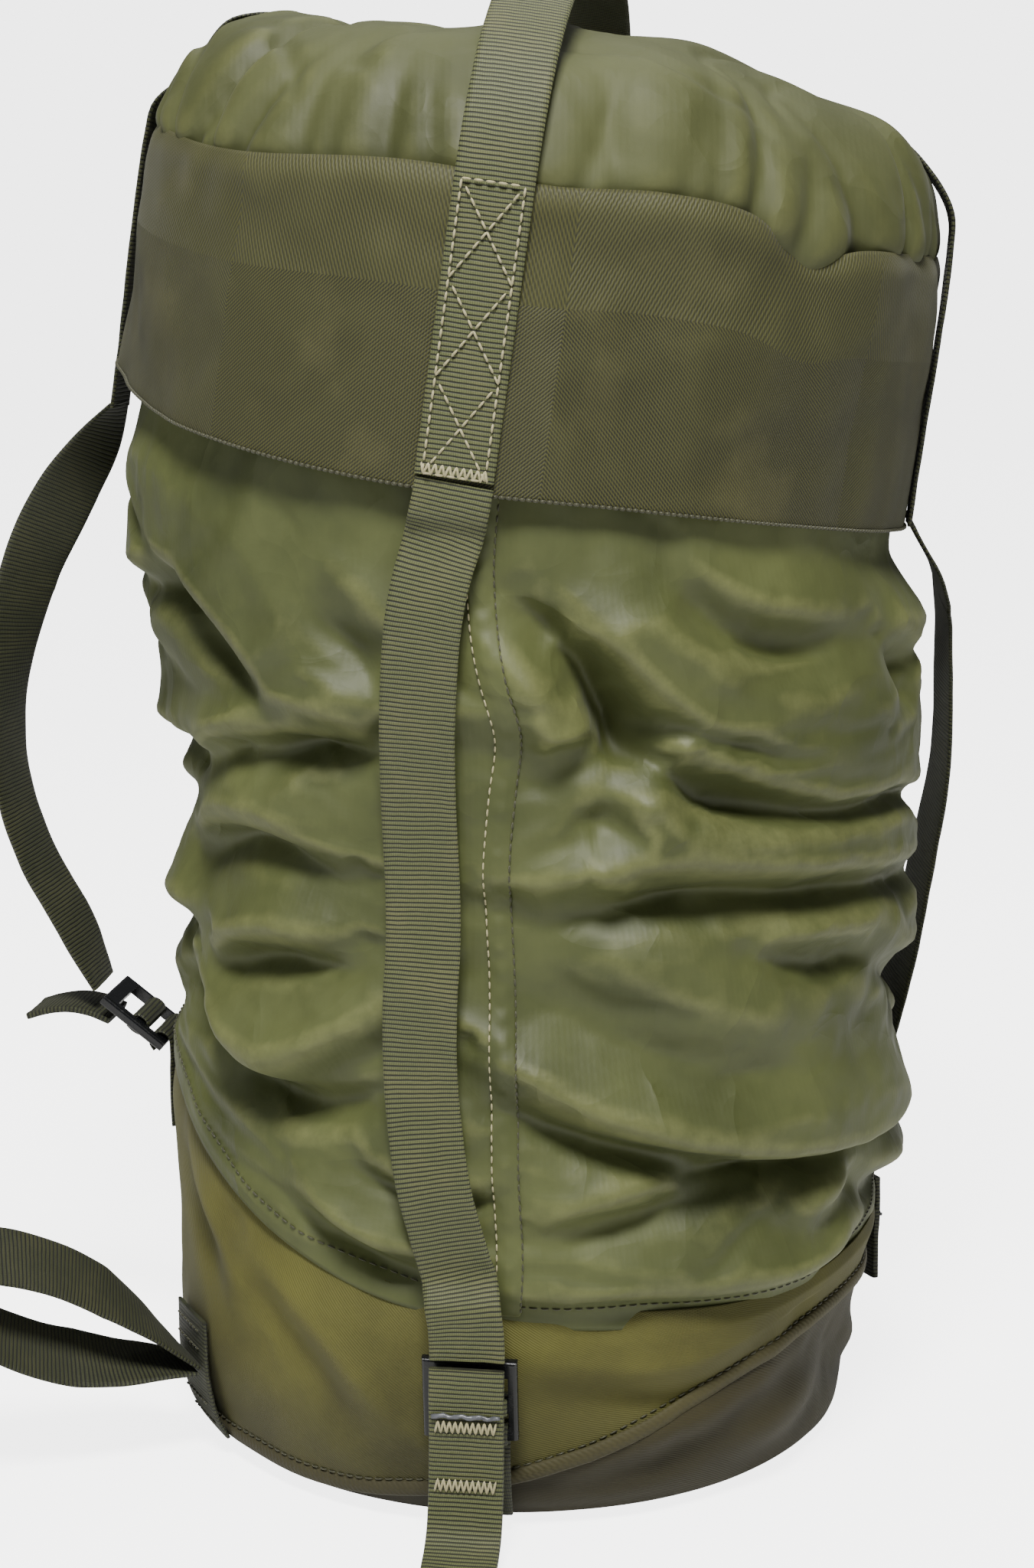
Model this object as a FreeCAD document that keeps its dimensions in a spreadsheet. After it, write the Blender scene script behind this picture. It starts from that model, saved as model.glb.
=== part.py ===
import FreeCAD, Part
import math
import os
import Sketcher
from FreeCAD import Placement, Rotation, Vector

# A stuffed, slack compression sack. Millimetres, +Z up, origin at the centre of the base on the ground.
# The front strap faces -Y. The cap leans a little to the right, and its four straps buckle to the base.

SIZES = {
    "cloth": 1.5,
    "wall_radius": 134.5,
    "upper_radius": 132.5,
    "upper_bottom": 228.0,
    "lower_top": 240.0,
    "shoulder_bottom": 425.0,
    "shoulder_top": 458.0,
    "mouth_radius": 62.0,
    "channel_radius": 5.0,
    "channel_bore": 3.0,
    "cord_radius": 1.5,
    "panel_radius": 116.0,
    "panel_thickness": 2.0,
    "binding_width": 6.0,
    "binding_height": 4.0,
    "wall_foot": 4.3,
    "foot_radius": 122.5,
    "foot_height": 45.0,
    "skirt_radius": 146.5,
    "skirt_bottom": 361.0,
    "skirt_top": 461.0,
    "cap_pivot": 411.0,
    "cap_lean": 8.0,
    "crown_shoulder": 103.0,
    "crown_shoulder_height": 505.0,
    "crown_height": 514.0,
    "hem_low": 80.0,
    "hem_high": 152.0,
    "hem_turn": 40.0,
    "hem_reach": 170.0,
    "strap_width": 25.0,
    "strap_thickness": 1.4,
    "tail_thickness": 2.8,
    "buckle_width": 33.0,
    "buckle_length": 30.0,
    "buckle_thickness": 4.2,
    "rail_width": 3.2,
    "anchor_bar": 4.0,
    "anchor_slot": 7.0,
    "middle_bar": 4.0,
    "strap_slot": 9.0,
    "buckle_round": 1.4,
    "lock_radius": 8.0,
    "lock_length": 20.0,
    "lock_bore": 5.5,
    "lock_wall": 2.5,
    "plunger_radius": 5.2,
    "plunger_length": 17.0,
    "plunger_rise": 5.0,
    "cord_hole": 1.9,
    "cord_gap": 2.1,
    "spring_wire": 0.7,
    "spring_radius": 3.4,
    "press_travel": 3.5,
    "patch_height": 54.0,
}

# Each strap: where it meets the base (degrees round the sack), the radius and height of its anchor bar,
# how far the buckle leans out (degrees), and the free run as (degrees, radius, height).
STRAPS = {
    "front": {
        "foot": -98.0, "bar": (141.0, 42.0), "lean": 8.0,
        "run": [(-100.0, 148.8, 361.0), (-102.0, 148.0, 335.0), (-104.5, 144.0, 295.0),
                (-105.0, 142.5, 245.0), (-104.5, 142.5, 195.0), (-104.0, 143.5, 145.0),
                (-101.5, 146.0, 105.0), (-98.5, 149.5, 78.0), (-98.0, 148.8, 67.0)],
        "tail": [(149.6, 60.0), (150.4, 48.0), (151.5, 34.0), (154.0, 20.0), (160.0, 9.2), (171.0, 3.4),
                 (190.0, 2.0), (215.0, 1.8)],
    },
    "right": {
        "foot": 24.0, "bar": (141.0, 42.0), "lean": 8.0,
        "run": [(-6.0, 149.0, 336.0), (-3.0, 156.0, 315.0), (1.5, 161.0, 285.0),
                (6.0, 162.0, 245.0), (12.0, 159.0, 195.0), (18.0, 153.5, 140.0),
                (22.5, 150.0, 100.0), (24.0, 149.8, 78.0), (24.0, 148.8, 67.0)],
        "tail": [(149.6, 60.0), (150.4, 48.0), (151.0, 36.0), (151.5, 24.0)],
    },
    "back": {
        "foot": 82.0, "bar": (141.0, 42.0), "lean": 8.0,
        "run": [(86.0, 148.8, 359.0), (85.6, 149.5, 330.0), (84.8, 151.0, 290.0),
                (84.0, 152.0, 240.0), (83.2, 151.5, 190.0), (82.6, 150.5, 145.0),
                (82.2, 150.0, 105.0), (82.0, 149.8, 78.0), (82.0, 148.8, 67.0)],
        "tail": [(149.6, 60.0), (150.6, 46.0), (152.0, 32.0), (155.0, 18.0), (161.0, 8.6), (172.0, 3.4),
                 (192.0, 2.0)],
    },
    "left": {
        "foot": 172.0, "bar": (142.5, 138.0), "lean": 52.0,
        "run": [(174.0, 149.5, 380.0), (173.8, 165.0, 358.0), (173.5, 186.0, 322.0),
                (173.2, 198.0, 285.0), (172.9, 201.0, 248.0), (172.6, 193.0, 212.0),
                (172.3, 180.0, 184.0), (172.1, 172.0, 166.0), (172.0, 168.0, 157.5)],
        "tail": [(162.0, 144.5), (170.0, 147.5), (179.0, 149.0), (188.0, 148.0), (196.0, 145.0)],
    },
}
CAP_STRAPS = {
    "over_strap_front_back": {
        "turn": -97.0,
        "half": [(148.2, 364.0), (148.2, 400.0), (148.2, 432.0), (148.0, 462.0), (144.0, 484.0),
                 (130.0, 507.0), (105.0, 525.0), (70.0, 538.0), (35.0, 544.5), (0.0, 546.0)],
    },
    "over_strap_left_right": {
        "turn": -6.0,
        "half": [(148.2, 364.0), (148.2, 400.0), (148.2, 432.0), (148.0, 462.0), (146.0, 482.0),
                 (136.0, 500.0), (112.0, 513.0), (75.0, 519.0), (35.0, 521.0), (0.0, 521.5)],
    },
}
HAUL_LOOP = {"turn": 205.0, "root": (139.3, 34.0), "reach": 92.0, "rise": 50.0, "gap": 30.0}

doc = FreeCAD.newDocument("compression_sack")
sheet = doc.addObject("Spreadsheet::Sheet", "Sizes")
nodes = []


def fill_sheet():
    for row, (name, value) in enumerate(SIZES.items(), start=1):
        sheet.set(f"A{row}", name)
        sheet.set(f"B{row}", str(value))
        sheet.setAlias(f"B{row}", name)
    doc.recompute()


def total(*terms):
    """A sum of sheet cells as its value and its expression; a leading minus sign subtracts a cell."""
    value, words = 0.0, ""
    for term in terms:
        sign, name = (-1, term[1:]) if term.startswith("-") else (1, term)
        value += sign * SIZES[name]
        words += (" - " if sign < 0 else " + ") + "Sizes." + name
    return value, words.strip().removeprefix("+ ")


def as_total(size):
    return size if isinstance(size, tuple) else total(*size.split())


def keep(shape_object, label):
    shape_object.Label = label
    nodes.append(shape_object)
    return shape_object


def feature(label, shape, placement=None):
    made = doc.addObject("Part::Feature", label)
    made.Shape = shape
    made.Placement = placement or Placement()
    return keep(made, label)


def cylinder(name, radius, height, bottom=None):
    made = doc.addObject("Part::Cylinder", name)
    made.setExpression("Radius", as_total(radius)[1])
    made.setExpression("Height", as_total(height)[1])
    if bottom:
        made.setExpression("Placement.Base.z", as_total(bottom)[1])
    return made


def boolean(kind, name, base, tool):
    made = doc.addObject("Part::" + kind, name)
    made.Base, made.Tool = base, tool
    return made


def tube(name, outer, inner, bottom, height):
    return boolean("Cut", name, cylinder(name + "_outside", outer, height, bottom),
                   cylinder(name + "_inside", inner, height, bottom))


def plane_of(body, role):
    return next(f for f in body.Origin.OriginFeatures if f.Role == role)


def sketch_on(body, name, role, corners):
    """A closed outline of straight sides, each corner's two places bound to the sheet."""
    sketch = body.newObject("Sketcher::SketchObject", name)
    sketch.AttachmentSupport = [(plane_of(body, role), "")]
    sketch.MapMode = "FlatFace"
    spots = [(as_total(across), as_total(up)) for across, up in corners]
    points = [Vector(across[0], up[0], 0) for across, up in spots]
    for i, point in enumerate(points):
        sketch.addGeometry(Part.LineSegment(point, points[(i + 1) % len(points)]), False)
    for i, (across, up) in enumerate(spots):
        sketch.addConstraint(Sketcher.Constraint("Coincident", (i - 1) % len(points), 2, i, 1))
        bind(sketch, "DistanceX", i, across)
        bind(sketch, "DistanceY", i, up)
    return sketch


def bind(sketch, kind, curve, size):
    """Holds the start of a side at a distance from the sketch's origin."""
    value, words = size
    number = sketch.addConstraint(Sketcher.Constraint(kind, -1, 1, curve, 1, value))
    sketch.setExpression(f"Constraints[{number}]", words)


def lathe(name, corners):
    """An outline turned about Z. A corner is (radius, height), and (radius, height, via) ends an arc."""
    spots = [Vector(corner[0], 0, corner[1]) for corner in corners]
    edges = []
    for i, start in enumerate(spots):
        end, via = spots[(i + 1) % len(spots)], corners[(i + 1) % len(spots)][2:]
        if via:
            edges.append(Part.Arc(start, Vector(via[0][0], 0, via[0][1]), end).toShape())
        else:
            edges.append(Part.LineSegment(start, end).toShape())
    made = doc.addObject("Part::Feature", name)
    made.Shape = Part.Face(Part.Wire(edges)).revolve(Vector(), Vector(0, 0, 1), 360)
    return made


def slab(name, role, corners, length):
    """A body padded both ways from an outline."""
    body = doc.addObject("PartDesign::Body", name)
    sketch = sketch_on(body, name + "_outline", role, corners)
    pad = body.newObject("PartDesign::Pad", name + "_pad")
    pad.Profile = sketch
    pad.Midplane = True
    pad.setExpression("Length", as_total(length)[1])
    return body


def outward(turn, radius, height):
    angle = math.radians(turn)
    return Vector(radius * math.cos(angle), radius * math.sin(angle), height)


def sideways(turn):
    angle = math.radians(turn)
    return Vector(-math.sin(angle), math.cos(angle), 0)


def smooth(points, count):
    curve = Part.BSplineCurve()
    curve.interpolate(points)
    first, last = curve.FirstParameter, curve.LastParameter
    return [curve.value(first + (last - first) * i / (count - 1)) for i in range(count)]


def spread(directions, count):
    """Directions eased evenly from the first to the last."""
    steps = len(directions) - 1
    eased = []
    for i in range(count):
        place = i * steps / (count - 1)
        before = min(int(place), steps - 1)
        share = place - before
        eased.append(directions[before] * (1 - share) + directions[before + 1] * share)
    return eased


def webbing(stations, width, thickness, count):
    """A flat strap. Each station is (point, direction across the strap)."""
    points = smooth([point for point, _ in stations], count)
    acrosses = spread([across for _, across in stations], count)
    sections = []
    for i, (point, across) in enumerate(zip(points, acrosses)):
        along = points[min(i + 1, count - 1)] - points[max(i - 1, 0)]
        across = across.normalize()
        normal = along.cross(across).normalize()
        half_width, half_thickness = across * (width / 2), normal * (thickness / 2)
        corners = [point - half_width - half_thickness, point + half_width - half_thickness,
                   point + half_width + half_thickness, point - half_width + half_thickness]
        sections.append(Part.makePolygon(corners + corners[:1]))
    return Part.makeLoft(sections, True, True)


def cap_lean():
    pivot = Vector(0, 0, SIZES["cap_pivot"])
    return Placement(Vector(), Rotation(Vector(0, 1, 0), SIZES["cap_lean"]), pivot)


def make_base():
    panel = cylinder("base_panel", "panel_radius", "panel_thickness")
    keep(panel, "base_panel")
    binding = tube("base_binding", "panel_radius binding_width", "panel_radius",
                   None, "binding_height")
    keep(binding, "base_binding")
    cloth, wall, foot = SIZES["cloth"], SIZES["wall_radius"], SIZES["foot_radius"]
    low, high, bend = SIZES["wall_foot"], SIZES["hem_reach"], SIZES["foot_height"]
    cup = lathe("base_cup", [
        (foot, low),
        (wall, bend, (foot + 8.5, low + 16)),
        (wall, high),
        (wall - cloth, high),
        (wall - cloth, bend),
        (foot - cloth, low, (foot - cloth + 8.5, low + 16)),
    ])
    below_hem = slab("below_hem", "XZ_Plane", [
        ("-hem_reach", "-hem_turn"),
        ("hem_reach", "-hem_turn"),
        ("hem_reach", "hem_low"),
        ("-hem_turn", "hem_low"),
        ("-wall_radius", "hem_high"),
        ("-hem_reach", "hem_reach"),
    ], "hem_reach hem_reach")
    keep(boolean("Common", "base_wall", cup, below_hem), "base_wall")
    barrel = tube("lower_barrel", "wall_radius", "wall_radius -cloth", "foot_height",
                  "lower_top -foot_height")
    keep(boolean("Cut", "sack_wall_lower", barrel, below_hem), "sack_wall_lower")


def make_upper():
    wall = tube("sack_wall_upper", "upper_radius", "upper_radius -cloth", "upper_bottom",
                "shoulder_bottom -upper_bottom")
    keep(wall, "sack_wall_upper")
    cloth, outer, mouth = SIZES["cloth"], SIZES["upper_radius"], SIZES["mouth_radius"]
    low, high = SIZES["shoulder_bottom"], SIZES["shoulder_top"]
    shoulder = lathe("sack_shoulder", [
        (outer, low),
        (mouth, high, (outer - 24, high - 6)),
        (mouth, high - cloth),
        (outer - cloth, low, (outer - 24 - cloth, high - 6 - cloth)),
    ])
    keep(shoulder, "sack_shoulder")
    hem = doc.addObject("Part::Torus", "hem_outside")
    hollow = doc.addObject("Part::Torus", "hem_inside")
    for ring, radius in ((hem, "channel_radius"), (hollow, "channel_bore")):
        ring.setExpression("Radius1", as_total("mouth_radius channel_radius")[1])
        ring.setExpression("Radius2", as_total(radius)[1])
        ring.setExpression("Placement.Base.z", as_total("shoulder_top channel_radius cord_radius")[1])
    ring = boolean("Cut", "hem_ring", hem, hollow)
    eyelets = doc.addObject("Part::Feature", "hem_eyelets")
    eyelets.Shape = Part.makeCompound([Part.makeCylinder(SIZES["cord_hole"], SIZES["lock_radius"], spot)
                                       for spot in cord_ends()])
    keep(boolean("Cut", "mouth_channel", ring, eyelets), "mouth_channel")


def cord_ends():
    """Where the drawcord's two ends turn up out of the hem, at the back of the mouth."""
    seat = SIZES["mouth_radius"] + SIZES["channel_radius"]
    middle = SIZES["shoulder_top"] + SIZES["channel_radius"] + SIZES["cord_radius"]
    return [Vector(side * SIZES["cord_gap"], seat, middle) for side in (-1, 1)]


def make_cord_lock():
    """The lock stands on the back of the mouth hem, and its plunger presses in from the right."""
    length, rise, travel = SIZES["lock_length"], SIZES["plunger_rise"], SIZES["press_travel"]
    radius, wall, gap = SIZES["lock_radius"], SIZES["lock_wall"], SIZES["cord_gap"]
    hole, thick, wire = SIZES["cord_hole"], SIZES["cord_radius"], SIZES["spring_wire"]
    foot = length + rise - SIZES["plunger_length"]
    cords = length - gap - hole - 0.6
    ends = cord_ends()
    seat = Vector(-cords, ends[0].y, ends[0].z + SIZES["channel_radius"] + radius + 1)
    along = Placement(seat, Rotation(Vector(0, 1, 0), 90))
    holes = [Part.makeCylinder(hole, 4 * radius, Vector(-2 * radius, 0, cords + side), Vector(1, 0, 0))
             for side in (-gap, gap)]
    slot = Part.makeBox(4 * radius, 2 * hole, 2 * gap + travel,
                        Vector(-2 * radius, -hole, cords - gap))
    far_end = Part.makeCylinder(hole, 4 * radius, Vector(-2 * radius, 0, cords + gap + travel),
                                Vector(1, 0, 0))
    barrel = Part.makeCylinder(radius, length).cut(
        Part.makeCylinder(SIZES["lock_bore"], length, Vector(0, 0, wall)))
    plunger = Part.makeCylinder(SIZES["plunger_radius"], SIZES["plunger_length"], Vector(0, 0, foot))
    feature("cord_lock_barrel", barrel.cut(holes), along)
    feature("cord_lock_plunger", plunger.cut([holes[0], slot, far_end]), along)
    low, high = wall + 0.3, foot - 0.3
    tall = high - low - wire
    coil = Part.makeHelix(tall / 2, tall, SIZES["spring_radius"])
    coil.translate(Vector(0, 0, low + wire / 2))
    ring = Part.Wire(Part.makeCircle(wire / 2, coil.Vertexes[0].Point, Vector(0, 1, 0)))
    feature("cord_lock_spring", Part.Wire(coil.Edges).makePipeShell([ring], True, False), along)
    cord = Part.makeTorus(SIZES["mouth_radius"] + SIZES["channel_radius"], thick)
    cord.translate(Vector(0, 0, ends[0].z))
    top = 2 * radius + SIZES["channel_radius"] + 5
    for end in ends:
        cord = cord.fuse([Part.makeCylinder(thick, top, end),
                          Part.makeSphere(hole, end + Vector(0, 0, top))])
    feature("drawcord", cord)


def crown_shell():
    """A flat-topped dome whose rim tucks inside the skirt band."""
    cloth, rim, seam = SIZES["cloth"], SIZES["skirt_radius"] - 2 * SIZES["cloth"], SIZES["skirt_top"]
    shoulder, rise, top = SIZES["crown_shoulder"], SIZES["crown_shoulder_height"], SIZES["crown_height"]
    low, mid_rise, mid_top, flat = seam - SIZES["channel_radius"], (seam + rise) / 2 + 8, top - 2, 8
    return lathe("crown", [
        (rim, low),
        (rim, seam),
        (shoulder, rise, (rim - 10, mid_rise)),
        (flat, top, (shoulder / 2, mid_top)),
        (0, top),
        (0, top - cloth),
        (flat, top - cloth),
        (shoulder, rise - cloth, (shoulder / 2, mid_top - cloth)),
        (rim - cloth, seam, (rim - 10 - cloth, mid_rise - cloth)),
        (rim - cloth, low),
    ])


def make_cap():
    lean = cap_lean()
    skirt = tube("skirt_band", "skirt_radius", "skirt_radius -cloth", "skirt_bottom",
                 "skirt_top -skirt_bottom")
    for piece in (skirt, crown_shell()):
        piece.Placement = lean
        keep(piece, piece.Name)
    for name, strap in CAP_STRAPS.items():
        half = [(outward(strap["turn"], r, z), sideways(strap["turn"])) for r, z in strap["half"]]
        mirrored = [(outward(strap["turn"] + 180, r, z), sideways(strap["turn"]))
                    for r, z in reversed(strap["half"][:-1])]
        feature(name, webbing(half + mirrored, SIZES["strap_width"], SIZES["strap_thickness"], 57), lean)


def buckle_frame(name):
    """A moulded three-bar ladder lock, its anchor bar on the local X axis, standing up along Z."""
    half = SIZES["buckle_width"] / 2
    body = doc.addObject("PartDesign::Body", name)
    sketch = body.newObject("Sketcher::SketchObject", name + "_outline")
    sketch.AttachmentSupport = [(plane_of(body, "XZ_Plane"), "")]
    sketch.MapMode = "FlatFace"
    inner = total("rail_width")[1]
    bar = SIZES["anchor_bar"] / 2
    slot_top = bar + SIZES["anchor_slot"]
    bar_top = slot_top + SIZES["middle_bar"]
    rectangle(sketch, -half, half, (-bar, "Sizes.anchor_bar / 2"),
              (SIZES["buckle_length"] - bar, "Sizes.buckle_length - Sizes.anchor_bar / 2"), "0")
    rectangle(sketch, -half + SIZES["rail_width"], half - SIZES["rail_width"],
              (bar, "Sizes.anchor_bar / 2"), (slot_top, "Sizes.anchor_bar / 2 + Sizes.anchor_slot"), inner)
    rectangle(sketch, -half + SIZES["rail_width"], half - SIZES["rail_width"],
              (bar_top, "Sizes.anchor_bar / 2 + Sizes.anchor_slot + Sizes.middle_bar"),
              (bar_top + SIZES["strap_slot"],
               "Sizes.anchor_bar / 2 + Sizes.anchor_slot + Sizes.middle_bar + Sizes.strap_slot"), inner)
    pad = body.newObject("PartDesign::Pad", name + "_pad")
    pad.Profile = sketch
    pad.Midplane = True
    pad.setExpression("Length", "Sizes.buckle_thickness")
    doc.recompute()
    fillet = body.newObject("PartDesign::Fillet", name + "_round")
    fillet.Base = (pad, outer_edges(pad.Shape, half))
    fillet.setExpression("Radius", "Sizes.buckle_round")
    return body


def outer_edges(shape, half):
    """The long edges of the frame's rim."""
    top = SIZES["buckle_length"] - SIZES["anchor_bar"] / 2
    found = []
    for number, edge in enumerate(shape.Edges, start=1):
        box = edge.BoundBox
        on_side = abs(abs(box.XMin) - half) < 1e-6 and box.XLength < 1e-6 and box.YLength < 1e-6
        on_top = abs(box.ZMin - top) < 1e-6 and box.ZLength < 1e-6 and box.YLength < 1e-6
        if on_side or on_top:
            found.append(f"Edge{number}")
    return found


def rectangle(sketch, left, right, low, high, inset):
    """A box outline whose four sides are bound to the sheet; low and high are (value, expression)."""
    first = sketch.GeometryCount
    spots = [Vector(left, low[0], 0), Vector(right, low[0], 0), Vector(right, high[0], 0),
             Vector(left, high[0], 0)]
    for i in range(4):
        sketch.addGeometry(Part.LineSegment(spots[i], spots[(i + 1) % 4]), False)
    for i in range(4):
        sketch.addConstraint(Sketcher.Constraint("Coincident", first + i, 2, first + (i + 1) % 4, 1))
        kind = "Horizontal" if i % 2 == 0 else "Vertical"
        sketch.addConstraint(Sketcher.Constraint(kind, first + i))
    across = "Sizes.buckle_width / 2" + ("" if inset == "0" else f" - {inset}")
    for curve, kind, value, words in (
        (first, "DistanceX", left, f"-({across})"), (first + 1, "DistanceX", right, across),
        (first, "DistanceY", low[0], low[1] if low[0] > 0 else f"-({low[1]})"),
        (first + 2, "DistanceY", high[0], high[1]),
    ):
        number = sketch.addConstraint(Sketcher.Constraint(kind, -1, 1, curve, 1, value))
        sketch.setExpression(f"Constraints[{number}]", words)


def buckle_place(strap):
    """Local X across the strap, local -Y outwards and local Z up, leaning out about the anchor bar."""
    radius, height = strap["bar"]
    facing = Rotation(Vector(0, 0, 1), strap["foot"] + 90)
    leaning = Rotation(Vector(1, 0, 0), strap["lean"])
    return Placement(outward(strap["foot"], radius, height), facing.multiply(leaning))


def turn_shape():
    """The strap's turn round the middle bar, open at the top, in the buckle's own frame."""
    middle = (SIZES["anchor_bar"] + SIZES["middle_bar"]) / 2 + SIZES["anchor_slot"]
    back, deep = SIZES["buckle_thickness"] / 2 + 1.2, SIZES["middle_bar"] / 2 + 1.3
    path = [(-0.4, middle + deep), (back * 0.75, middle + deep * 0.8), (back, middle),
            (back * 0.75, middle - deep * 0.85), (0.0, middle - deep), (-back * 0.75, middle - deep * 0.85),
            (-back, middle), (-back, middle + deep)]
    stations = [(Vector(0, y, z), Vector(1, 0, 0)) for y, z in path]
    return webbing(stations, SIZES["strap_width"], SIZES["strap_thickness"], 25)


def anchor_stations(strap):
    """From the foot of the base wall up to the bar, then over and round it."""
    radius, height = strap["bar"]
    hug = SIZES["anchor_bar"] / 2 * math.sqrt(2) + SIZES["strap_thickness"] / 2 + 0.35
    low = height - 34
    wall = SIZES["wall_radius"]
    if low < SIZES["foot_height"]:
        path = [(129.6, 9.0), (133.4, 18.0), (135.4, 28.0), (136.0, height - hug)]
    else:
        path = [(wall + 1.2, low), (wall + 1.2, low + 14), (wall + 1.2, height - 10),
                (wall + 1.6, height - hug)]
    path += [(radius - hug, height + 0.6)]
    path += [(radius + hug * math.cos(a), height + hug * math.sin(a))
             for a in (math.radians(d) for d in (135, 90, 45, 0, -45, -80))]
    return [(outward(strap["foot"], r, z), sideways(strap["foot"])) for r, z in path]


def run_stations(strap):
    return [(outward(turn, radius, height), sideways(turn)) for turn, radius, height in strap["run"]]


def make_straps():
    width, thin, thick = SIZES["strap_width"], SIZES["strap_thickness"], SIZES["tail_thickness"]
    for side, strap in STRAPS.items():
        feature(f"anchor_webbing_{side}", webbing(anchor_stations(strap), width, thin, 41))
        buckle = buckle_frame(f"ladder_lock_{side}")
        buckle.Placement = buckle_place(strap)
        keep(buckle, f"ladder_lock_{side}")
        feature(f"webbing_turn_{side}", turn_shape(), buckle_place(strap))
        feature(f"strap_run_{side}", webbing(run_stations(strap), width, thin, 33))
        tail = [(outward(strap["foot"], r, z), sideways(strap["foot"])) for r, z in strap["tail"]]
        feature(f"pull_tail_{side}", webbing(tail, width, thick, 21))


def make_haul_loop():
    turn, (radius, height) = HAUL_LOOP["turn"], HAUL_LOOP["root"]
    reach, rise, gap = HAUL_LOOP["reach"], HAUL_LOOP["rise"], HAUL_LOOP["gap"]
    width, thin = SIZES["strap_width"], SIZES["strap_thickness"]
    lift = math.atan2(rise, reach)
    along = (math.cos(lift), math.sin(lift))
    out = math.hypot(reach, rise)

    def at(distance, off):
        return outward(turn, radius + distance * along[0] - off * along[1],
                       height + distance * along[1] + off * along[0])
    path = [(0.6, -1.0), (0.25 * out, -0.32 * gap), (0.55 * out, -0.5 * gap), (0.85 * out, -0.42 * gap),
            (out, 0.0), (0.85 * out, 0.42 * gap), (0.55 * out, 0.5 * gap), (0.25 * out, 0.32 * gap),
            (0.6, 1.0)]
    stations = [(at(d, off), sideways(turn)) for d, off in path]
    feature("haul_loop", webbing(stations, width, thin, 49))
    hug_wall = ((129.0, 8.0), (133.2, 17.0), (135.3, 27.0), (136.0, 36.0), (136.1, SIZES["patch_height"]))
    patch = [(outward(turn, r, z), sideways(turn)) for r, z in hug_wall]
    feature("haul_loop_patch", webbing(patch, width + 6, thin, 21))


def check_document():
    doc.recompute()
    for made in doc.Objects:
        for word in ("Invalid", "Error"):
            if word in made.State:
                raise RuntimeError(f"{made.Name} is {made.State}")
    for node in nodes:
        if node.Shape.isNull() or not node.Shape.isValid() or node.Shape.Volume <= 0:
            raise RuntimeError(f"{node.Label} has no good shape")


def write_nodes():
    os.makedirs("parts", exist_ok=True)
    for node in nodes:
        node.Shape.exportStep(f"parts/{node.Label}.step")
        box = node.Shape.BoundBox
        print(f"{node.Label:26s} {node.Shape.Volume:10.1f} mm3  "
              f"z {box.ZMin:7.2f} to {box.ZMax:7.2f}  solids {len(node.Shape.Solids)}")


fill_sheet()
make_base()
make_upper()
make_cord_lock()
make_cap()
make_straps()
make_haul_loop()
check_document()
write_nodes()
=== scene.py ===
import math
import random

import bmesh
import bpy
import numpy as np
from mathutils import Matrix, Vector, noise
from mathutils.bvhtree import BVHTree


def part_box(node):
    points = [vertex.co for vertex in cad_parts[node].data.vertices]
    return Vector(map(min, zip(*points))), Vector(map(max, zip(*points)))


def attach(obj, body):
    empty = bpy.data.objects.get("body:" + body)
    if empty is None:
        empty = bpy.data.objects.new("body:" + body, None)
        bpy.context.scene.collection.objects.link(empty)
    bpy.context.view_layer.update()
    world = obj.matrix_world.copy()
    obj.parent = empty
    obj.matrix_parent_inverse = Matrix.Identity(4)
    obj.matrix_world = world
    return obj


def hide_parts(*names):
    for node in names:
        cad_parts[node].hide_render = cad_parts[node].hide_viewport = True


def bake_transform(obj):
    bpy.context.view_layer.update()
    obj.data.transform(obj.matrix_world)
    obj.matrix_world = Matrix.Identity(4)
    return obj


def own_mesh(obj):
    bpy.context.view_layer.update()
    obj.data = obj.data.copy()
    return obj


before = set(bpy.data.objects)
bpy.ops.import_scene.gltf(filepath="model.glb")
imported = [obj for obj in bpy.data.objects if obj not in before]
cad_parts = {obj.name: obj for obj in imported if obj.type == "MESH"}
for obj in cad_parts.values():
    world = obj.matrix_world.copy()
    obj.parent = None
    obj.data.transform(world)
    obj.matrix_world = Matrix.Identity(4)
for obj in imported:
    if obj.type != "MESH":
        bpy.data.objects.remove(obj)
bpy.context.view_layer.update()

# A stuffed, slack compression sack. Metres, +Z up, origin under the middle of the base; the front strap
# faces -Y. Angles go round the sack from +X, so the front is -90 degrees and the left side is 180.

MM = 0.001
random.seed(31)

STRAP_WIDTH = 26 * MM
STRAP_THICK = 1.5 * MM
SKIRT_LOW, SKIRT_HIGH = 0.361, 0.461
CAP_PIVOT = Vector((0, 0, 0.411))
CAP_LEAN = math.radians(8)
SKIRT_RADIUS = 0.1465
WALL_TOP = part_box("sack_wall_upper")[1].z
WALL_BLEND = ((0, 0, 0.095), (0, 0, 0.355))
SIDES = ("front", "right", "back", "left")


# ---------------------------------------------------------------- materials

def linear(hex_colour):
    """An sRGB hex colour as the linear colour that a shader takes."""
    parts = [int(hex_colour[i:i + 2], 16) / 255 for i in (1, 3, 5)]
    return [p / 12.92 if p <= 0.04045 else ((p + 0.055) / 1.055) ** 2.4 for p in parts] + [1.0]


def add(tree, kind, settings=None, inputs=None):
    """Adds a node with its settings and links. An input that is a socket is linked, any other is set."""
    made = tree.nodes.new(kind)
    for name, value in (settings or {}).items():
        setattr(made, name, value)
    for name, value in (inputs or {}).items():
        if isinstance(value, bpy.types.NodeSocket):
            tree.links.new(value, made.inputs[name])
        else:
            made.inputs[name].default_value = value
    return made


def blank_material(name):
    material = bpy.data.materials.new(name)
    material.use_nodes = True
    tree = material.node_tree
    tree.nodes.clear()
    return material, tree


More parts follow.
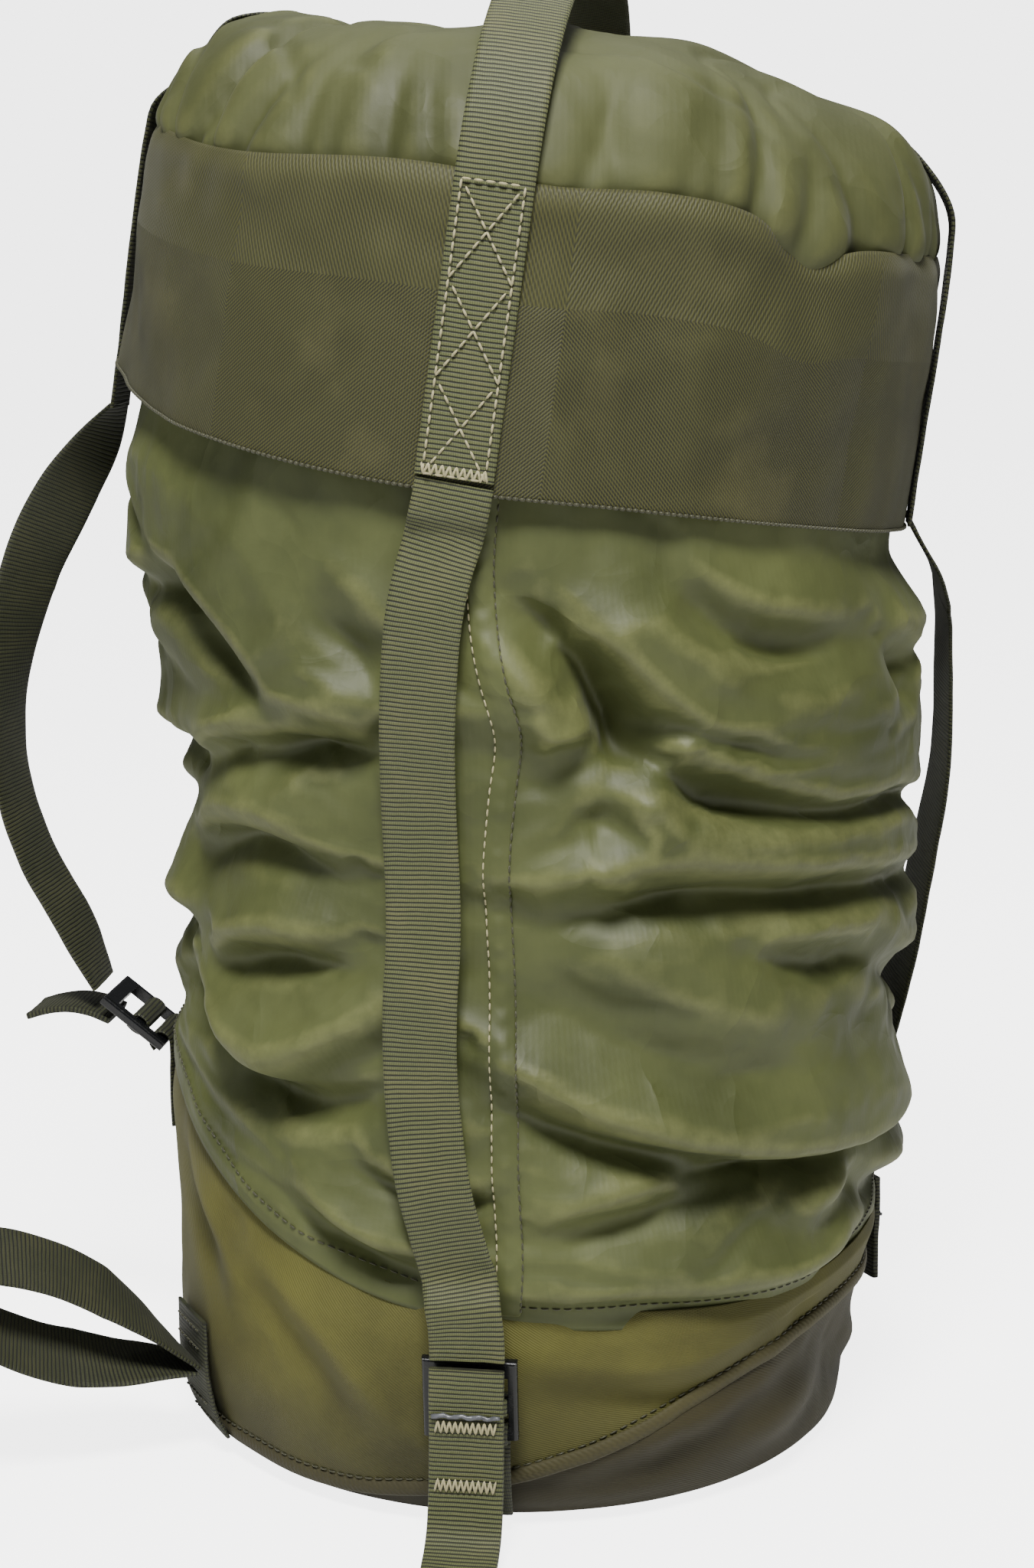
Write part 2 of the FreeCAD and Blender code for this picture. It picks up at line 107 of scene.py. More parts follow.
def finish_material(tree, **sockets):
    """The Principled shader that every material ends in."""
    inputs = {name.replace("_", " "): value for name, value in sockets.items()}
    shader = add(tree, "ShaderNodeBsdfPrincipled", None, inputs)
    add(tree, "ShaderNodeOutputMaterial", None, {"Surface": shader.outputs[0]})


def mixed(tree, share, first, second):
    made = add(tree, "ShaderNodeMix", {"data_type": "RGBA"}, {0: share, 6: first, 7: second})
    return made.outputs[2]


def coated_nylon(name, deep, middle, worn, gloss):
    """Urethane-coated nylon taffeta: a thin satin cloth whose folds catch broad soft lights. The coating
    has a fine crinkle, and its fold crests are painted paler: partly rubbed wear, partly painted highlight."""
    material, tree = blank_material(name)
    place = add(tree, "ShaderNodeTexCoord").outputs["Object"]
    cloth = add(tree, "ShaderNodeUVMap", {"uv_map": "cloth"}).outputs[0]
    crest = add(tree, "ShaderNodeAttribute", {"attribute_name": "crest"}).outputs["Fac"]
    cloud = add(tree, "ShaderNodeTexNoise", None,
                {"Vector": place, "Scale": 1 / (70 * MM), "Detail": 5.0, "Roughness": 0.6})
    blotch = add(tree, "ShaderNodeMapRange", None,
                 {"Value": cloud.outputs[0], "From Min": 0.35, "From Max": 0.7})
    tone = mixed(tree, blotch.outputs[0], linear(deep), linear(middle))
    # painted highlight and wear: the fold crests are mixed towards the worn colour, broken up by rub noise
    rub = add(tree, "ShaderNodeTexNoise", None,
              {"Vector": place, "Scale": 1 / (9 * MM), "Detail": 6.0, "Roughness": 0.7})
    rubbed = add(tree, "ShaderNodeMath", {"operation": "MULTIPLY"}, {0: crest, 1: rub.outputs[0]})
    crest_wear_and_highlight = add(tree, "ShaderNodeMapRange", None,
               {"Value": rubbed.outputs[0], "From Min": 0.18, "From Max": 0.7, "To Max": 0.3})
    colour = mixed(tree, crest_wear_and_highlight.outputs[0], tone, linear(worn))
    # taffeta's threads, 0.4 mm apart, are drawn 1.1 mm apart so that the weave shows
    threads = add(tree, "ShaderNodeTexWave", {"bands_direction": "X"},
                  {"Vector": cloth, "Scale": 1 / (1.1 * MM) / 6.28, "Distortion": 0.6, "Detail": 1.0})
    crinkle = add(tree, "ShaderNodeTexNoise", None,
                  {"Vector": place, "Scale": 1 / (6 * MM), "Detail": 4.0, "Roughness": 0.55})
    coarse = add(tree, "ShaderNodeBump", None,
                 {"Strength": 0.3, "Distance": 0.5 * MM, "Height": crinkle.outputs[0]})
    # creases pressed into the coating, sharp-edged and up to 50 mm long
    bend = add(tree, "ShaderNodeTexNoise", None, {"Vector": place, "Scale": 1 / (60 * MM), "Detail": 2.0})
    bent = add(tree, "ShaderNodeVectorMath", {"operation": "MULTIPLY_ADD"},
               {0: bend.outputs["Color"], 1: (0.05, 0.05, 0.03), 2: place})
    facets = add(tree, "ShaderNodeTexNoise", {"noise_type": "RIDGED_MULTIFRACTAL"},
                 {"Vector": bent.outputs[0], "Scale": 1 / (42 * MM), "Detail": 2.5, "Roughness": 0.45,
                  "Lacunarity": 2.3, "Offset": 0.9, "Gain": 1.2})
    pressed = add(tree, "ShaderNodeBump", None, {"Strength": 0.55, "Distance": 1.6 * MM,
                                                 "Height": facets.outputs[0], "Normal": coarse.outputs[0]})
    fine = add(tree, "ShaderNodeBump", None, {"Strength": 0.12, "Distance": 0.12 * MM,
                                              "Height": threads.outputs[0], "Normal": pressed.outputs[0]})
    rough = add(tree, "ShaderNodeMapRange", None, {"Value": cloud.outputs[0], "From Min": 0.3,
                                                   "From Max": 0.75, "To Min": gloss, "To Max": gloss + 0.14})
    finish_material(tree, Base_Color=colour, Roughness=rough.outputs[0], Normal=fine.outputs[0],
                    Sheen_Weight=0.04, Sheen_Roughness=0.4)
    return material


def twill_band(name):
    """Wide woven twill band: diagonal ribs that turn over in blocks, a plainer selvedge strip along the
    top, and grey-white scuffs where it has rubbed."""
    material, tree = blank_material(name)
    cloth = add(tree, "ShaderNodeUVMap", {"uv_map": "cloth"}).outputs[0]
    parts = add(tree, "ShaderNodeSeparateXYZ", None, {0: cloth})
    along, up = parts.outputs[0], parts.outputs[1]
    block = add(tree, "ShaderNodeMath", {"operation": "PINGPONG"}, {0: along, 1: 120 * MM})
    upper = add(tree, "ShaderNodeMath", {"operation": "GREATER_THAN"}, {0: up, 1: 62 * MM})
    steep = add(tree, "ShaderNodeMapRange", None, {"Value": upper.outputs[0], "To Min": 1.0, "To Max": -0.45})
    climb = add(tree, "ShaderNodeMath", {"operation": "MULTIPLY"}, {0: up, 1: steep.outputs[0]})
    lean = add(tree, "ShaderNodeMath", {"operation": "ADD"}, {0: block.outputs[0], 1: climb.outputs[0]})
    # the twill's ribs are 1.0 mm apart and drawn 1.4 mm apart so that they show
    phase = add(tree, "ShaderNodeMath", {"operation": "MULTIPLY"},
                {0: lean.outputs[0], 1: 6.283 / (1.4 * MM)})
    wave = add(tree, "ShaderNodeMath", {"operation": "SINE"}, {0: phase.outputs[0]})
    pick = add(tree, "ShaderNodeMath", {"operation": "MULTIPLY"}, {0: along, 1: 6.283 / (0.9 * MM)})
    picks = add(tree, "ShaderNodeMath", {"operation": "SINE"}, {0: pick.outputs[0]})
    weave = add(tree, "ShaderNodeMath", {"operation": "MULTIPLY_ADD"},
                {0: picks.outputs[0], 1: 0.45, 2: wave.outputs[0]})
    ribs = add(tree, "ShaderNodeMapRange", None,
               {"Value": weave.outputs[0], "From Min": -1.1, "From Max": 1.1})
    place = add(tree, "ShaderNodeTexCoord").outputs["Object"]
    cloud = add(tree, "ShaderNodeTexNoise", None,
                {"Vector": place, "Scale": 1 / (38 * MM), "Detail": 5.0, "Roughness": 0.5})
    scuffs = add(tree, "ShaderNodeMapRange", None,
                 {"Value": cloud.outputs[0], "From Min": 0.56, "From Max": 0.85, "To Max": 0.3})
    base = mixed(tree, ribs.outputs[0], linear("#0B0C04"), linear("#474719"))
    stripe = mixed(tree, upper.outputs[0], base, mixed(tree, 0.22, base, linear("#43441B")))
    # painted highlight: the crests of the band's folds are mixed towards a lighter olive
    crest = add(tree, "ShaderNodeAttribute", {"attribute_name": "crest"}).outputs["Fac"]
    lit = mixed(tree, add(tree, "ShaderNodeMath", {"operation": "MULTIPLY"}, {0: crest, 1: 0.35}).outputs[0],
                stripe, linear("#62633A"))
    colour = mixed(tree, scuffs.outputs[0], lit, linear("#6E6A44"))
    bump = add(tree, "ShaderNodeBump", None,
               {"Strength": 0.7, "Distance": 0.25 * MM, "Height": ribs.outputs[0]})
    finish_material(tree, Base_Color=colour, Roughness=0.66, Normal=bump.outputs[0],
                    Sheen_Weight=0.06, Sheen_Roughness=0.45)
    return material


def ribbed_webbing(name, gap, body, light, wear=0.5):
    """Heavy nylon webbing: a rib across the strap every 1.55 mm, each rib a row of small beads where
    the yarns cross it, with dark gaps between the ribs."""
    material, tree = blank_material(name)
    cloth = add(tree, "ShaderNodeUVMap", {"uv_map": "cloth"}).outputs[0]
    parts = add(tree, "ShaderNodeSeparateXYZ", None, {0: cloth})
    across, along = parts.outputs[0], parts.outputs[1]
    wobble = add(tree, "ShaderNodeTexNoise", None, {"Vector": cloth, "Scale": 1 / (14 * MM), "Detail": 2.0})
    waver = add(tree, "ShaderNodeMath", {"operation": "MULTIPLY_ADD"},
                {0: wobble.outputs[0], 1: 0.9 * MM, 2: along})
    phase = add(tree, "ShaderNodeMath", {"operation": "MULTIPLY"},
                {0: waver.outputs[0], 1: 6.283 / (1.55 * MM)})
    wave = add(tree, "ShaderNodeMath", {"operation": "SINE"}, {0: phase.outputs[0]})
    ribs = add(tree, "ShaderNodeMapRange", {"interpolation_type": "SMOOTHSTEP"},
               {"Value": wave.outputs[0], "From Min": -0.95, "From Max": 0.1})
    slant = add(tree, "ShaderNodeMath", {"operation": "MULTIPLY_ADD"}, {0: along, 1: 0.12, 2: across})
    yarn_phase = add(tree, "ShaderNodeMath", {"operation": "MULTIPLY"},
                     {0: slant.outputs[0], 1: 6.283 / (0.75 * MM)})
    yarns = add(tree, "ShaderNodeMath", {"operation": "SINE"}, {0: yarn_phase.outputs[0]})
    yarn = add(tree, "ShaderNodeMapRange", None, {"Value": yarns.outputs[0], "From Min": -1.0,
                                                  "From Max": 1.0, "To Min": 0.35, "To Max": 1.0})
    cloud = add(tree, "ShaderNodeTexNoise", None,
                {"Vector": cloth, "Scale": 1 / (22 * MM), "Detail": 5.0, "Roughness": 0.65})
    worn = add(tree, "ShaderNodeMapRange", None,
               {"Value": cloud.outputs[0], "From Min": 0.45, "From Max": 0.8, "To Max": wear})
    top = mixed(tree, yarn.outputs[0], linear(body), linear(light))
    rubbed = mixed(tree, worn.outputs[0], top, linear("#6E6A44"))
    colour = mixed(tree, ribs.outputs[0], linear(gap), rubbed)
    height = add(tree, "ShaderNodeMath", {"operation": "MULTIPLY_ADD"},
                 {0: yarn.outputs[0], 1: 0.3, 2: ribs.outputs[0]})
    bump = add(tree, "ShaderNodeBump", None,
               {"Strength": 0.8, "Distance": 0.35 * MM, "Height": height.outputs[0]})
    finish_material(tree, Base_Color=colour, Roughness=0.62, Normal=bump.outputs[0],
                    Sheen_Weight=0.05, Sheen_Roughness=0.5)
    return material


def duck_twill(name, deep, middle, light):
    """Heavy coated duck: a fine tight diagonal, a dry surface and soft uneven fading."""
    material, tree = blank_material(name)
    cloth = add(tree, "ShaderNodeUVMap", {"uv_map": "cloth"}).outputs[0]
    parts = add(tree, "ShaderNodeSeparateXYZ", None, {0: cloth})
    lean = add(tree, "ShaderNodeMath", {"operation": "ADD"}, {0: parts.outputs[0], 1: parts.outputs[1]})
    # the diagonal is 0.7 mm apart and drawn 1.5 mm apart so that it shows
    phase = add(tree, "ShaderNodeMath", {"operation": "MULTIPLY"},
                {0: lean.outputs[0], 1: 6.283 / (1.5 * MM)})
    wave = add(tree, "ShaderNodeMath", {"operation": "SINE"}, {0: phase.outputs[0]})
    ribs = add(tree, "ShaderNodeMapRange", None,
               {"Value": wave.outputs[0], "From Min": -1.0, "From Max": 1.0})
    place = add(tree, "ShaderNodeTexCoord").outputs["Object"]
    cloud = add(tree, "ShaderNodeTexNoise", None,
                {"Vector": place, "Scale": 1 / (60 * MM), "Detail": 5.0, "Roughness": 0.6})
    fade = add(tree, "ShaderNodeMapRange", None,
               {"Value": cloud.outputs[0], "From Min": 0.35, "From Max": 0.7})
    crest = add(tree, "ShaderNodeAttribute", {"attribute_name": "crest"}).outputs["Fac"]
    tone = mixed(tree, fade.outputs[0], linear(deep), linear(middle))
    # painted highlight: the fold crests are mixed towards the light colour
    lit = mixed(tree, add(tree, "ShaderNodeMath", {"operation": "MULTIPLY"}, {0: crest, 1: 0.5}).outputs[0],
                tone, linear(light))
    weave = add(tree, "ShaderNodeMath", {"operation": "MULTIPLY"}, {0: ribs.outputs[0], 1: 0.3})
    woven = mixed(tree, weave.outputs[0], lit, linear(light))
    # painted shade: the cloth darkens towards the ground, where it curves under away from the overhead light
    height = add(tree, "ShaderNodeSeparateXYZ", None, {0: place}).outputs[2]
    ragged = add(tree, "ShaderNodeMath", {"operation": "MULTIPLY_ADD"},
                 {0: cloud.outputs[0], 1: 0.06, 2: height})
    painted_low_shade = add(tree, "ShaderNodeMapRange", None, {"Value": ragged.outputs[0], "From Min": 0.03,
                                                  "From Max": 0.115, "To Min": 0.6, "To Max": 0.0})
    colour = mixed(tree, painted_low_shade.outputs[0], woven, linear("#1E1B08"))
    bump = add(tree, "ShaderNodeBump", None,
               {"Strength": 0.5, "Distance": 0.25 * MM, "Height": ribs.outputs[0]})
    finish_material(tree, Base_Color=colour, Roughness=0.74, Normal=bump.outputs[0],
                    Sheen_Weight=0.05, Sheen_Roughness=0.5)
    return material


def moulded_acetal(name, colour, rough):
    """Injection-moulded acetal: deep black, smooth, with a faint orange-peel and hairline scratches."""
    material, tree = blank_material(name)
    place = add(tree, "ShaderNodeTexCoord").outputs["Object"]
    peel = add(tree, "ShaderNodeTexNoise", None, {"Vector": place, "Scale": 1 / (2 * MM), "Detail": 3.0})
    scratch = add(tree, "ShaderNodeTexNoise", None,
                  {"Vector": place, "Scale": 1 / (5 * MM), "Detail": 8.0, "Roughness": 0.75})
    marks = add(tree, "ShaderNodeMapRange", None, {"Value": scratch.outputs[0], "From Min": 0.5,
                                                   "From Max": 0.75, "To Min": rough, "To Max": rough + 0.25})
    tint = mixed(tree, scratch.outputs[0], linear(colour), linear("#16171A"))
    bump = add(tree, "ShaderNodeBump", None,
               {"Strength": 0.15, "Distance": 0.15 * MM, "Height": peel.outputs[0]})
    finish_material(tree, Base_Color=tint, Roughness=marks.outputs[0], Normal=bump.outputs[0], IOR=1.48)
    return material


def polyester_thread(name, colour, shade):
    """Bonded sewing thread: a twisted strand with a slight shine, darker between the plies."""
    material, tree = blank_material(name)
    place = add(tree, "ShaderNodeTexCoord").outputs["Object"]
    twist = add(tree, "ShaderNodeTexNoise", None, {"Vector": place, "Scale": 1 / (0.8 * MM), "Detail": 2.0})
    tint = mixed(tree, twist.outputs[0], linear(shade), linear(colour))
    bump = add(tree, "ShaderNodeBump", None,
               {"Strength": 0.5, "Distance": 0.1 * MM, "Height": twist.outputs[0]})
    finish_material(tree, Base_Color=tint, Roughness=0.5, Normal=bump.outputs[0], Sheen_Weight=0.2)
    return material


def braided_cord(name):
    """Braided nylon cord: small crossing strands, 1.6 mm apart, in dull olive."""
    material, tree = blank_material(name)
    place = add(tree, "ShaderNodeTexCoord").outputs["Object"]
    braid = add(tree, "ShaderNodeTexVoronoi", None, {"Vector": place, "Scale": 1 / (1.6 * MM)})
    tint = mixed(tree, braid.outputs[0], linear("#6A6644"), linear("#2C2A18"))
    bump = add(tree, "ShaderNodeBump", {"invert": True},
               {"Strength": 0.6, "Distance": 0.3 * MM, "Height": braid.outputs[0]})
    finish_material(tree, Base_Color=tint, Roughness=0.65, Normal=bump.outputs[0], Sheen_Weight=0.2)
    return material


def drawn_spring_wire(name):
    """Drawn spring wire: bright grey metal with fine lengthwise draw marks."""
    material, tree = blank_material(name)
    place = add(tree, "ShaderNodeTexCoord").outputs["Object"]
    marks = add(tree, "ShaderNodeTexNoise", None, {"Vector": place, "Scale": 1 / (1.0 * MM), "Detail": 4.0})
    rough = add(tree, "ShaderNodeMapRange", None, {"Value": marks.outputs[0], "To Min": 0.25, "To Max": 0.45})
    tint = mixed(tree, marks.outputs[0], linear("#8E8F92"), linear("#B9BABD"))
    finish_material(tree, Base_Color=tint, Metallic=1.0, Roughness=rough.outputs[0])
    return material


def seared_end(name):
    """The heat-sealed cut end of webbing: melted nylon, dark grey and shiny in beads."""
    material, tree = blank_material(name)
    place = add(tree, "ShaderNodeTexCoord").outputs["Object"]
    beads = add(tree, "ShaderNodeTexNoise", None, {"Vector": place, "Scale": 1 / (1.8 * MM), "Detail": 3.0})
    tint = mixed(tree, beads.outputs[0], linear("#2A2B30"), linear("#74767C"))
    bump = add(tree, "ShaderNodeBump", None,
               {"Strength": 0.8, "Distance": 0.5 * MM, "Height": beads.outputs[0]})
    finish_material(tree, Base_Color=tint, Roughness=0.28, Normal=bump.outputs[0])
    return material


def studio_paper(name):
    """Seamless white paper, matt and faintly mottled."""
    material, tree = blank_material(name)
    place = add(tree, "ShaderNodeTexCoord").outputs["Object"]
    mottle = add(tree, "ShaderNodeTexNoise", None, {"Vector": place, "Scale": 3.0, "Detail": 3.0})
    tint = mixed(tree, mottle.outputs[0], linear("#F3F3F1"), linear("#F8F8F6"))
    # the paper is lit on its own for the camera, so that it shows white and doesn't light the sack
    straight = add(tree, "ShaderNodeLightPath").outputs["Is Camera Ray"]
    glow = add(tree, "ShaderNodeMath", {"operation": "MULTIPLY"}, {0: straight, 1: 4.0})
    finish_material(tree, Base_Color=tint, Roughness=0.9, Emission_Color=linear("#FFFFFF"),
                    Emission_Strength=glow.outputs[0])
    return material


BODY_NYLON = coated_nylon("coated_nylon_body", "#3D431E", "#575D32", "#8E905C", 0.52)
CROWN_NYLON = coated_nylon("coated_nylon_crown", "#3B3F1C", "#4C502B", "#737545", 0.58)
BAND = twill_band("woven_twill_band")
WEBBING = ribbed_webbing("ribbed_nylon_webbing", "#191A0C", "#393E20", "#5F643C")
# a darker copy of the webbing: painted shade for the straps that turn away from the lights
SHADED_WEBBING = ribbed_webbing("ribbed_nylon_webbing_shaded", "#0B0C06", "#20220F", "#363A20", 0.2)
BASE_TWILL = duck_twill("khaki_duck_twill", "#434110", "#57551A", "#6C6A2C")
PANEL_TWILL = duck_twill("brown_duck_twill", "#241F07", "#2F2A0C", "#403A14")
BINDING_TAPE = duck_twill("olive_binding_tape", "#302D12", "#3E3A1A", "#524D28")
BUCKLE_ACETAL = moulded_acetal("black_moulded_acetal", "#08090B", 0.2)
LOCK_ACETAL = moulded_acetal("black_cord_lock_acetal", "#17181A", 0.35)
PALE_THREAD = polyester_thread("sand_polyester_thread", "#C4BC94", "#7F7852")
DARK_THREAD = polyester_thread("olive_polyester_thread", "#45452A", "#262614")
CORD = braided_cord("braided_nylon_cord")
SPRING_WIRE = drawn_spring_wire("drawn_spring_wire")
SEARED = seared_end("seared_webbing_end")
PAPER = studio_paper("white_backdrop_paper")


# ---------------------------------------------------------------- curves and meshes

def eased_through(knots, where, period=None):
    """A smooth curve through (place, value) knots, worked out at each place of where."""
    xs = np.array([k[0] for k in knots], float)
    ys = np.array([k[1] for k in knots], float)
    where = np.asarray(where, float)
    if period:
        where = (where - xs[0]) % period + xs[0]
        xs, ys = (np.concatenate([xs[-2:] - period, xs, xs[:2] + period]),
                  np.concatenate([ys[-2:], ys, ys[:2]]))
    slopes = np.gradient(ys, xs)
    spot = np.clip(np.searchsorted(xs, where) - 1, 0, len(xs) - 2)
    width = xs[spot + 1] - xs[spot]
    t = np.clip((where - xs[spot]) / width, 0, 1)
    return ((2 * t**3 - 3 * t**2 + 1) * ys[spot] + (t**3 - 2 * t**2 + t) * width * slopes[spot]
            + (3 * t**2 - 2 * t**3) * ys[spot + 1] + (t**3 - t**2) * width * slopes[spot + 1])


def fine_line(points, step):
    """A smooth line through points, as evenly spaced places about one step apart."""
    points = np.array([list(p) for p in points], float)
    lengths = np.concatenate([[0], np.cumsum(np.linalg.norm(np.diff(points, axis=0), axis=1))])
    dense = np.linspace(0, lengths[-1], 40 * len(points))
    line = np.stack([eased_through(list(zip(lengths, points[:, i])), dense)
                     for i in range(points.shape[1])], 1)
    run = np.concatenate([[0], np.cumsum(np.linalg.norm(np.diff(line, axis=0), axis=1))])
    count = max(int(round(run[-1] / step)), 2)
    even = np.linspace(0, run[-1], count + 1)
    return np.stack([np.interp(even, run, line[:, i]) for i in range(points.shape[1])], 1)


def polar(turn, radius, height):
    angle = math.radians(turn)
    return Vector((radius * math.cos(angle), radius * math.sin(angle), height))


def sideways(turn):
    angle = math.radians(turn)
    return Vector((-math.sin(angle), math.cos(angle), 0))


def leaned(point):
    """A place on the upright cap, moved to where the leaning cap has it."""
    return Matrix.Rotation(CAP_LEAN, 3, "Y") @ (Vector(point) - CAP_PIVOT) + CAP_PIVOT


def lean_all(points):
    turn = np.array(Matrix.Rotation(CAP_LEAN, 3, "Y"))
    return (points - np.array(CAP_PIVOT)) @ turn.T + np.array(CAP_PIVOT)


def new_object(name, verts, faces, uvs=None, material=None, crest=None):
    mesh = bpy.data.meshes.new(name)
    mesh.from_pydata([tuple(v) for v in verts], [], faces)
    if uvs is not None:
        layer = mesh.uv_layers.new(name="cloth")
        layer.data.foreach_set("uv", np.asarray(uvs, np.float32).ravel())
    if crest is not None:
        mesh.attributes.new("crest", "FLOAT", "POINT").data.foreach_set("value", crest.astype(np.float32))
    for polygon in mesh.polygons:
        polygon.use_smooth = True
    mesh.validate()
    made = bpy.data.objects.new(name, mesh)
    bpy.context.scene.collection.objects.link(made)
    if material:
        mesh.materials.append(material)
    return made


def cloth_grid(name, places, across, up, material, crest=None, closed=True):
    """A sheet from rows of places. across and up are the cloth's own sizes, for its weave."""
    rows, columns = places.shape[:2]
    span = columns if closed else columns - 1
    faces, uvs = [], []
    for r in range(rows - 1):
        for c in range(span):
            n = (c + 1) % columns
            faces.append((r * columns + c, r * columns + n, (r + 1) * columns + n, (r + 1) * columns + c))
            u0, u1 = across * c / span, across * (c + 1) / span
            v0, v1 = up * r / (rows - 1), up * (r + 1) / (rows - 1)
            uvs += [(u0, v0), (u1, v0), (u1, v1), (u0, v1)]
    flat_crest = None if crest is None else crest.reshape(-1)
    return new_object(name, places.reshape(-1, 3), faces, uvs, material, flat_crest)


def apply_modifiers(piece):
    """Turns the piece's modifiers into its own mesh."""
    graph = bpy.context.evaluated_depsgraph_get()
    graph.update()
    baked = bpy.data.meshes.new_from_object(piece.evaluated_get(graph), depsgraph=graph)
    old = piece.data
    piece.modifiers.clear()
    if old.shape_keys:
        piece.shape_key_clear()
    piece.data = baked
    baked.name = piece.name
    bpy.data.meshes.remove(old)


def smoothed(piece, levels=1):
    piece.modifiers.new("round", "SUBSURF").levels = levels
    apply_modifiers(piece)


def thickened(piece, thickness, offset=-1.0):
    made = piece.modifiers.new("cloth", "SOLIDIFY")
    made.thickness = thickness
    made.offset = offset
    apply_modifiers(piece)


def surface_tree(piece):
    mesh = piece.data
    return BVHTree.FromPolygons([v.co for v in mesh.vertices], [tuple(p.vertices) for p in mesh.polygons])


def on_surface(tree, turn, height, lift, centre=(0.0, 0.0)):
    """The outermost place of a cloth at an angle and height, lifted off it, and the cloth's outward side."""
    far = polar(turn, 0.4, height) + Vector((centre[0], centre[1], 0))
    towards = -polar(turn, 1, 0)
    spot, normal, _, _ = tree.ray_cast(far, towards, 0.5)
    if spot is None:
        return polar(turn, 0.14, height), -towards
    if normal.dot(towards) > 0:
        normal = -normal
    return spot + normal * lift, normal


# ---------------------------------------------------------------- folds

def fold_push(turns, heights, fold, radius):
    """How far one fold pushes the cloth out, in metres. A fold is a line of (degrees, mm) places with a
    height, an upper width and a lower width in mm: soft above its crest and tucked in below it."""
    line, (height, upper, lower) = fold
    path = fine_line([(math.radians(t) * radius / MM, z) for t, z in line], 3.0)
    around = 2 * math.pi * radius / MM
    u = np.radians(turns).reshape(-1) * radius / MM
    v = heights.reshape(-1) / MM
    best = np.full(u.shape, 1e9)
    side = np.zeros(u.shape)
    share = np.zeros(u.shape)
    tangents = np.gradient(path, axis=0)
    for i, (pu, pv) in enumerate(path):
        du = (u - pu + around / 2) % around - around / 2
        dv = v - pv
        reach = du * du + dv * dv
        nearer = reach < best
        tu, tv = tangents[i] / (np.hypot(*tangents[i]) + 1e-9)
        if tu < 0:
            tu, tv = -tu, -tv
        best = np.where(nearer, reach, best)
        side = np.where(nearer, -du * tv + dv * tu, side)
        share = np.where(nearer, i / (len(path) - 1), share)
    reach = np.sqrt(best)
    taper = np.sin(np.pi * np.clip(share * 0.9 + 0.05, 0, 1)) ** 0.7
    above = 0.45 * np.exp(-(reach / upper) ** 2) + 0.55 * np.exp(-reach / (0.75 * upper))
    below = np.exp(-(reach / lower) ** 1.5) - 0.9 * np.exp(-((reach - 1.8 * lower) / lower) ** 2)
    push = np.where(side >= 0, above, below)
    return (FOLD_DEPTH * height * MM * taper * push).reshape(turns.shape)


def rumple(places, size, depth, seed):
    """Small uneven swells of the cloth, from smooth noise."""
    flat = places.reshape(-1, 3) / size + seed
    swell = np.array([noise.noise(Vector(p)) for p in flat])
    return (depth * swell).reshape(places.shape[:2])


def creases(places, size, depth, width, seed):
    """Sharp shallow creases that wander across the cloth, along the places where smooth noise crosses
    zero. size is (across, across, up) in metres."""
    flat = places.reshape(-1, 3) / np.array(size) + seed
    swell = np.array([noise.noise(Vector(p)) for p in flat])
    gate = np.array([noise.noise(Vector(p) * 0.55 + Vector((7, 3, 1))) for p in flat])
    line = np.clip(1 - np.abs(swell) / width, 0, 1) * np.clip(gate * 3 + 0.2, 0, 1)
    return (-depth * line).reshape(places.shape[:2])


HEM = [(-180, 150), (-162, 141), (-148, 124), (-130, 103), (-112, 88), (-95, 82), (-72, 78), (-45, 75),
       (-22, 79), (0, 82), (40, 88), (80, 96), (115, 108), (140, 124), (162, 142)]
LEFT_EDGE = [(60, 136), (100, 138), (141, 136), (160, 133), (185, 126), (220, 127), (262, 127),
             (290, 134), (316, 141), (335, 143), (380, 142), (425, 133)]
RIGHT_EDGE = [(60, 130), (90, 136), (128, 140), (160, 139), (200, 142), (235, 144), (262, 142),
              (290, 140), (312, 139.5), (330, 136.5), (350, 134), (380, 133), (425, 131)]
FRONT_EDGE = [(60, 133), (100, 136), (150, 137), (200, 135), (250, 135), (300, 137), (340, 141),
              (380, 140), (425, 133)]

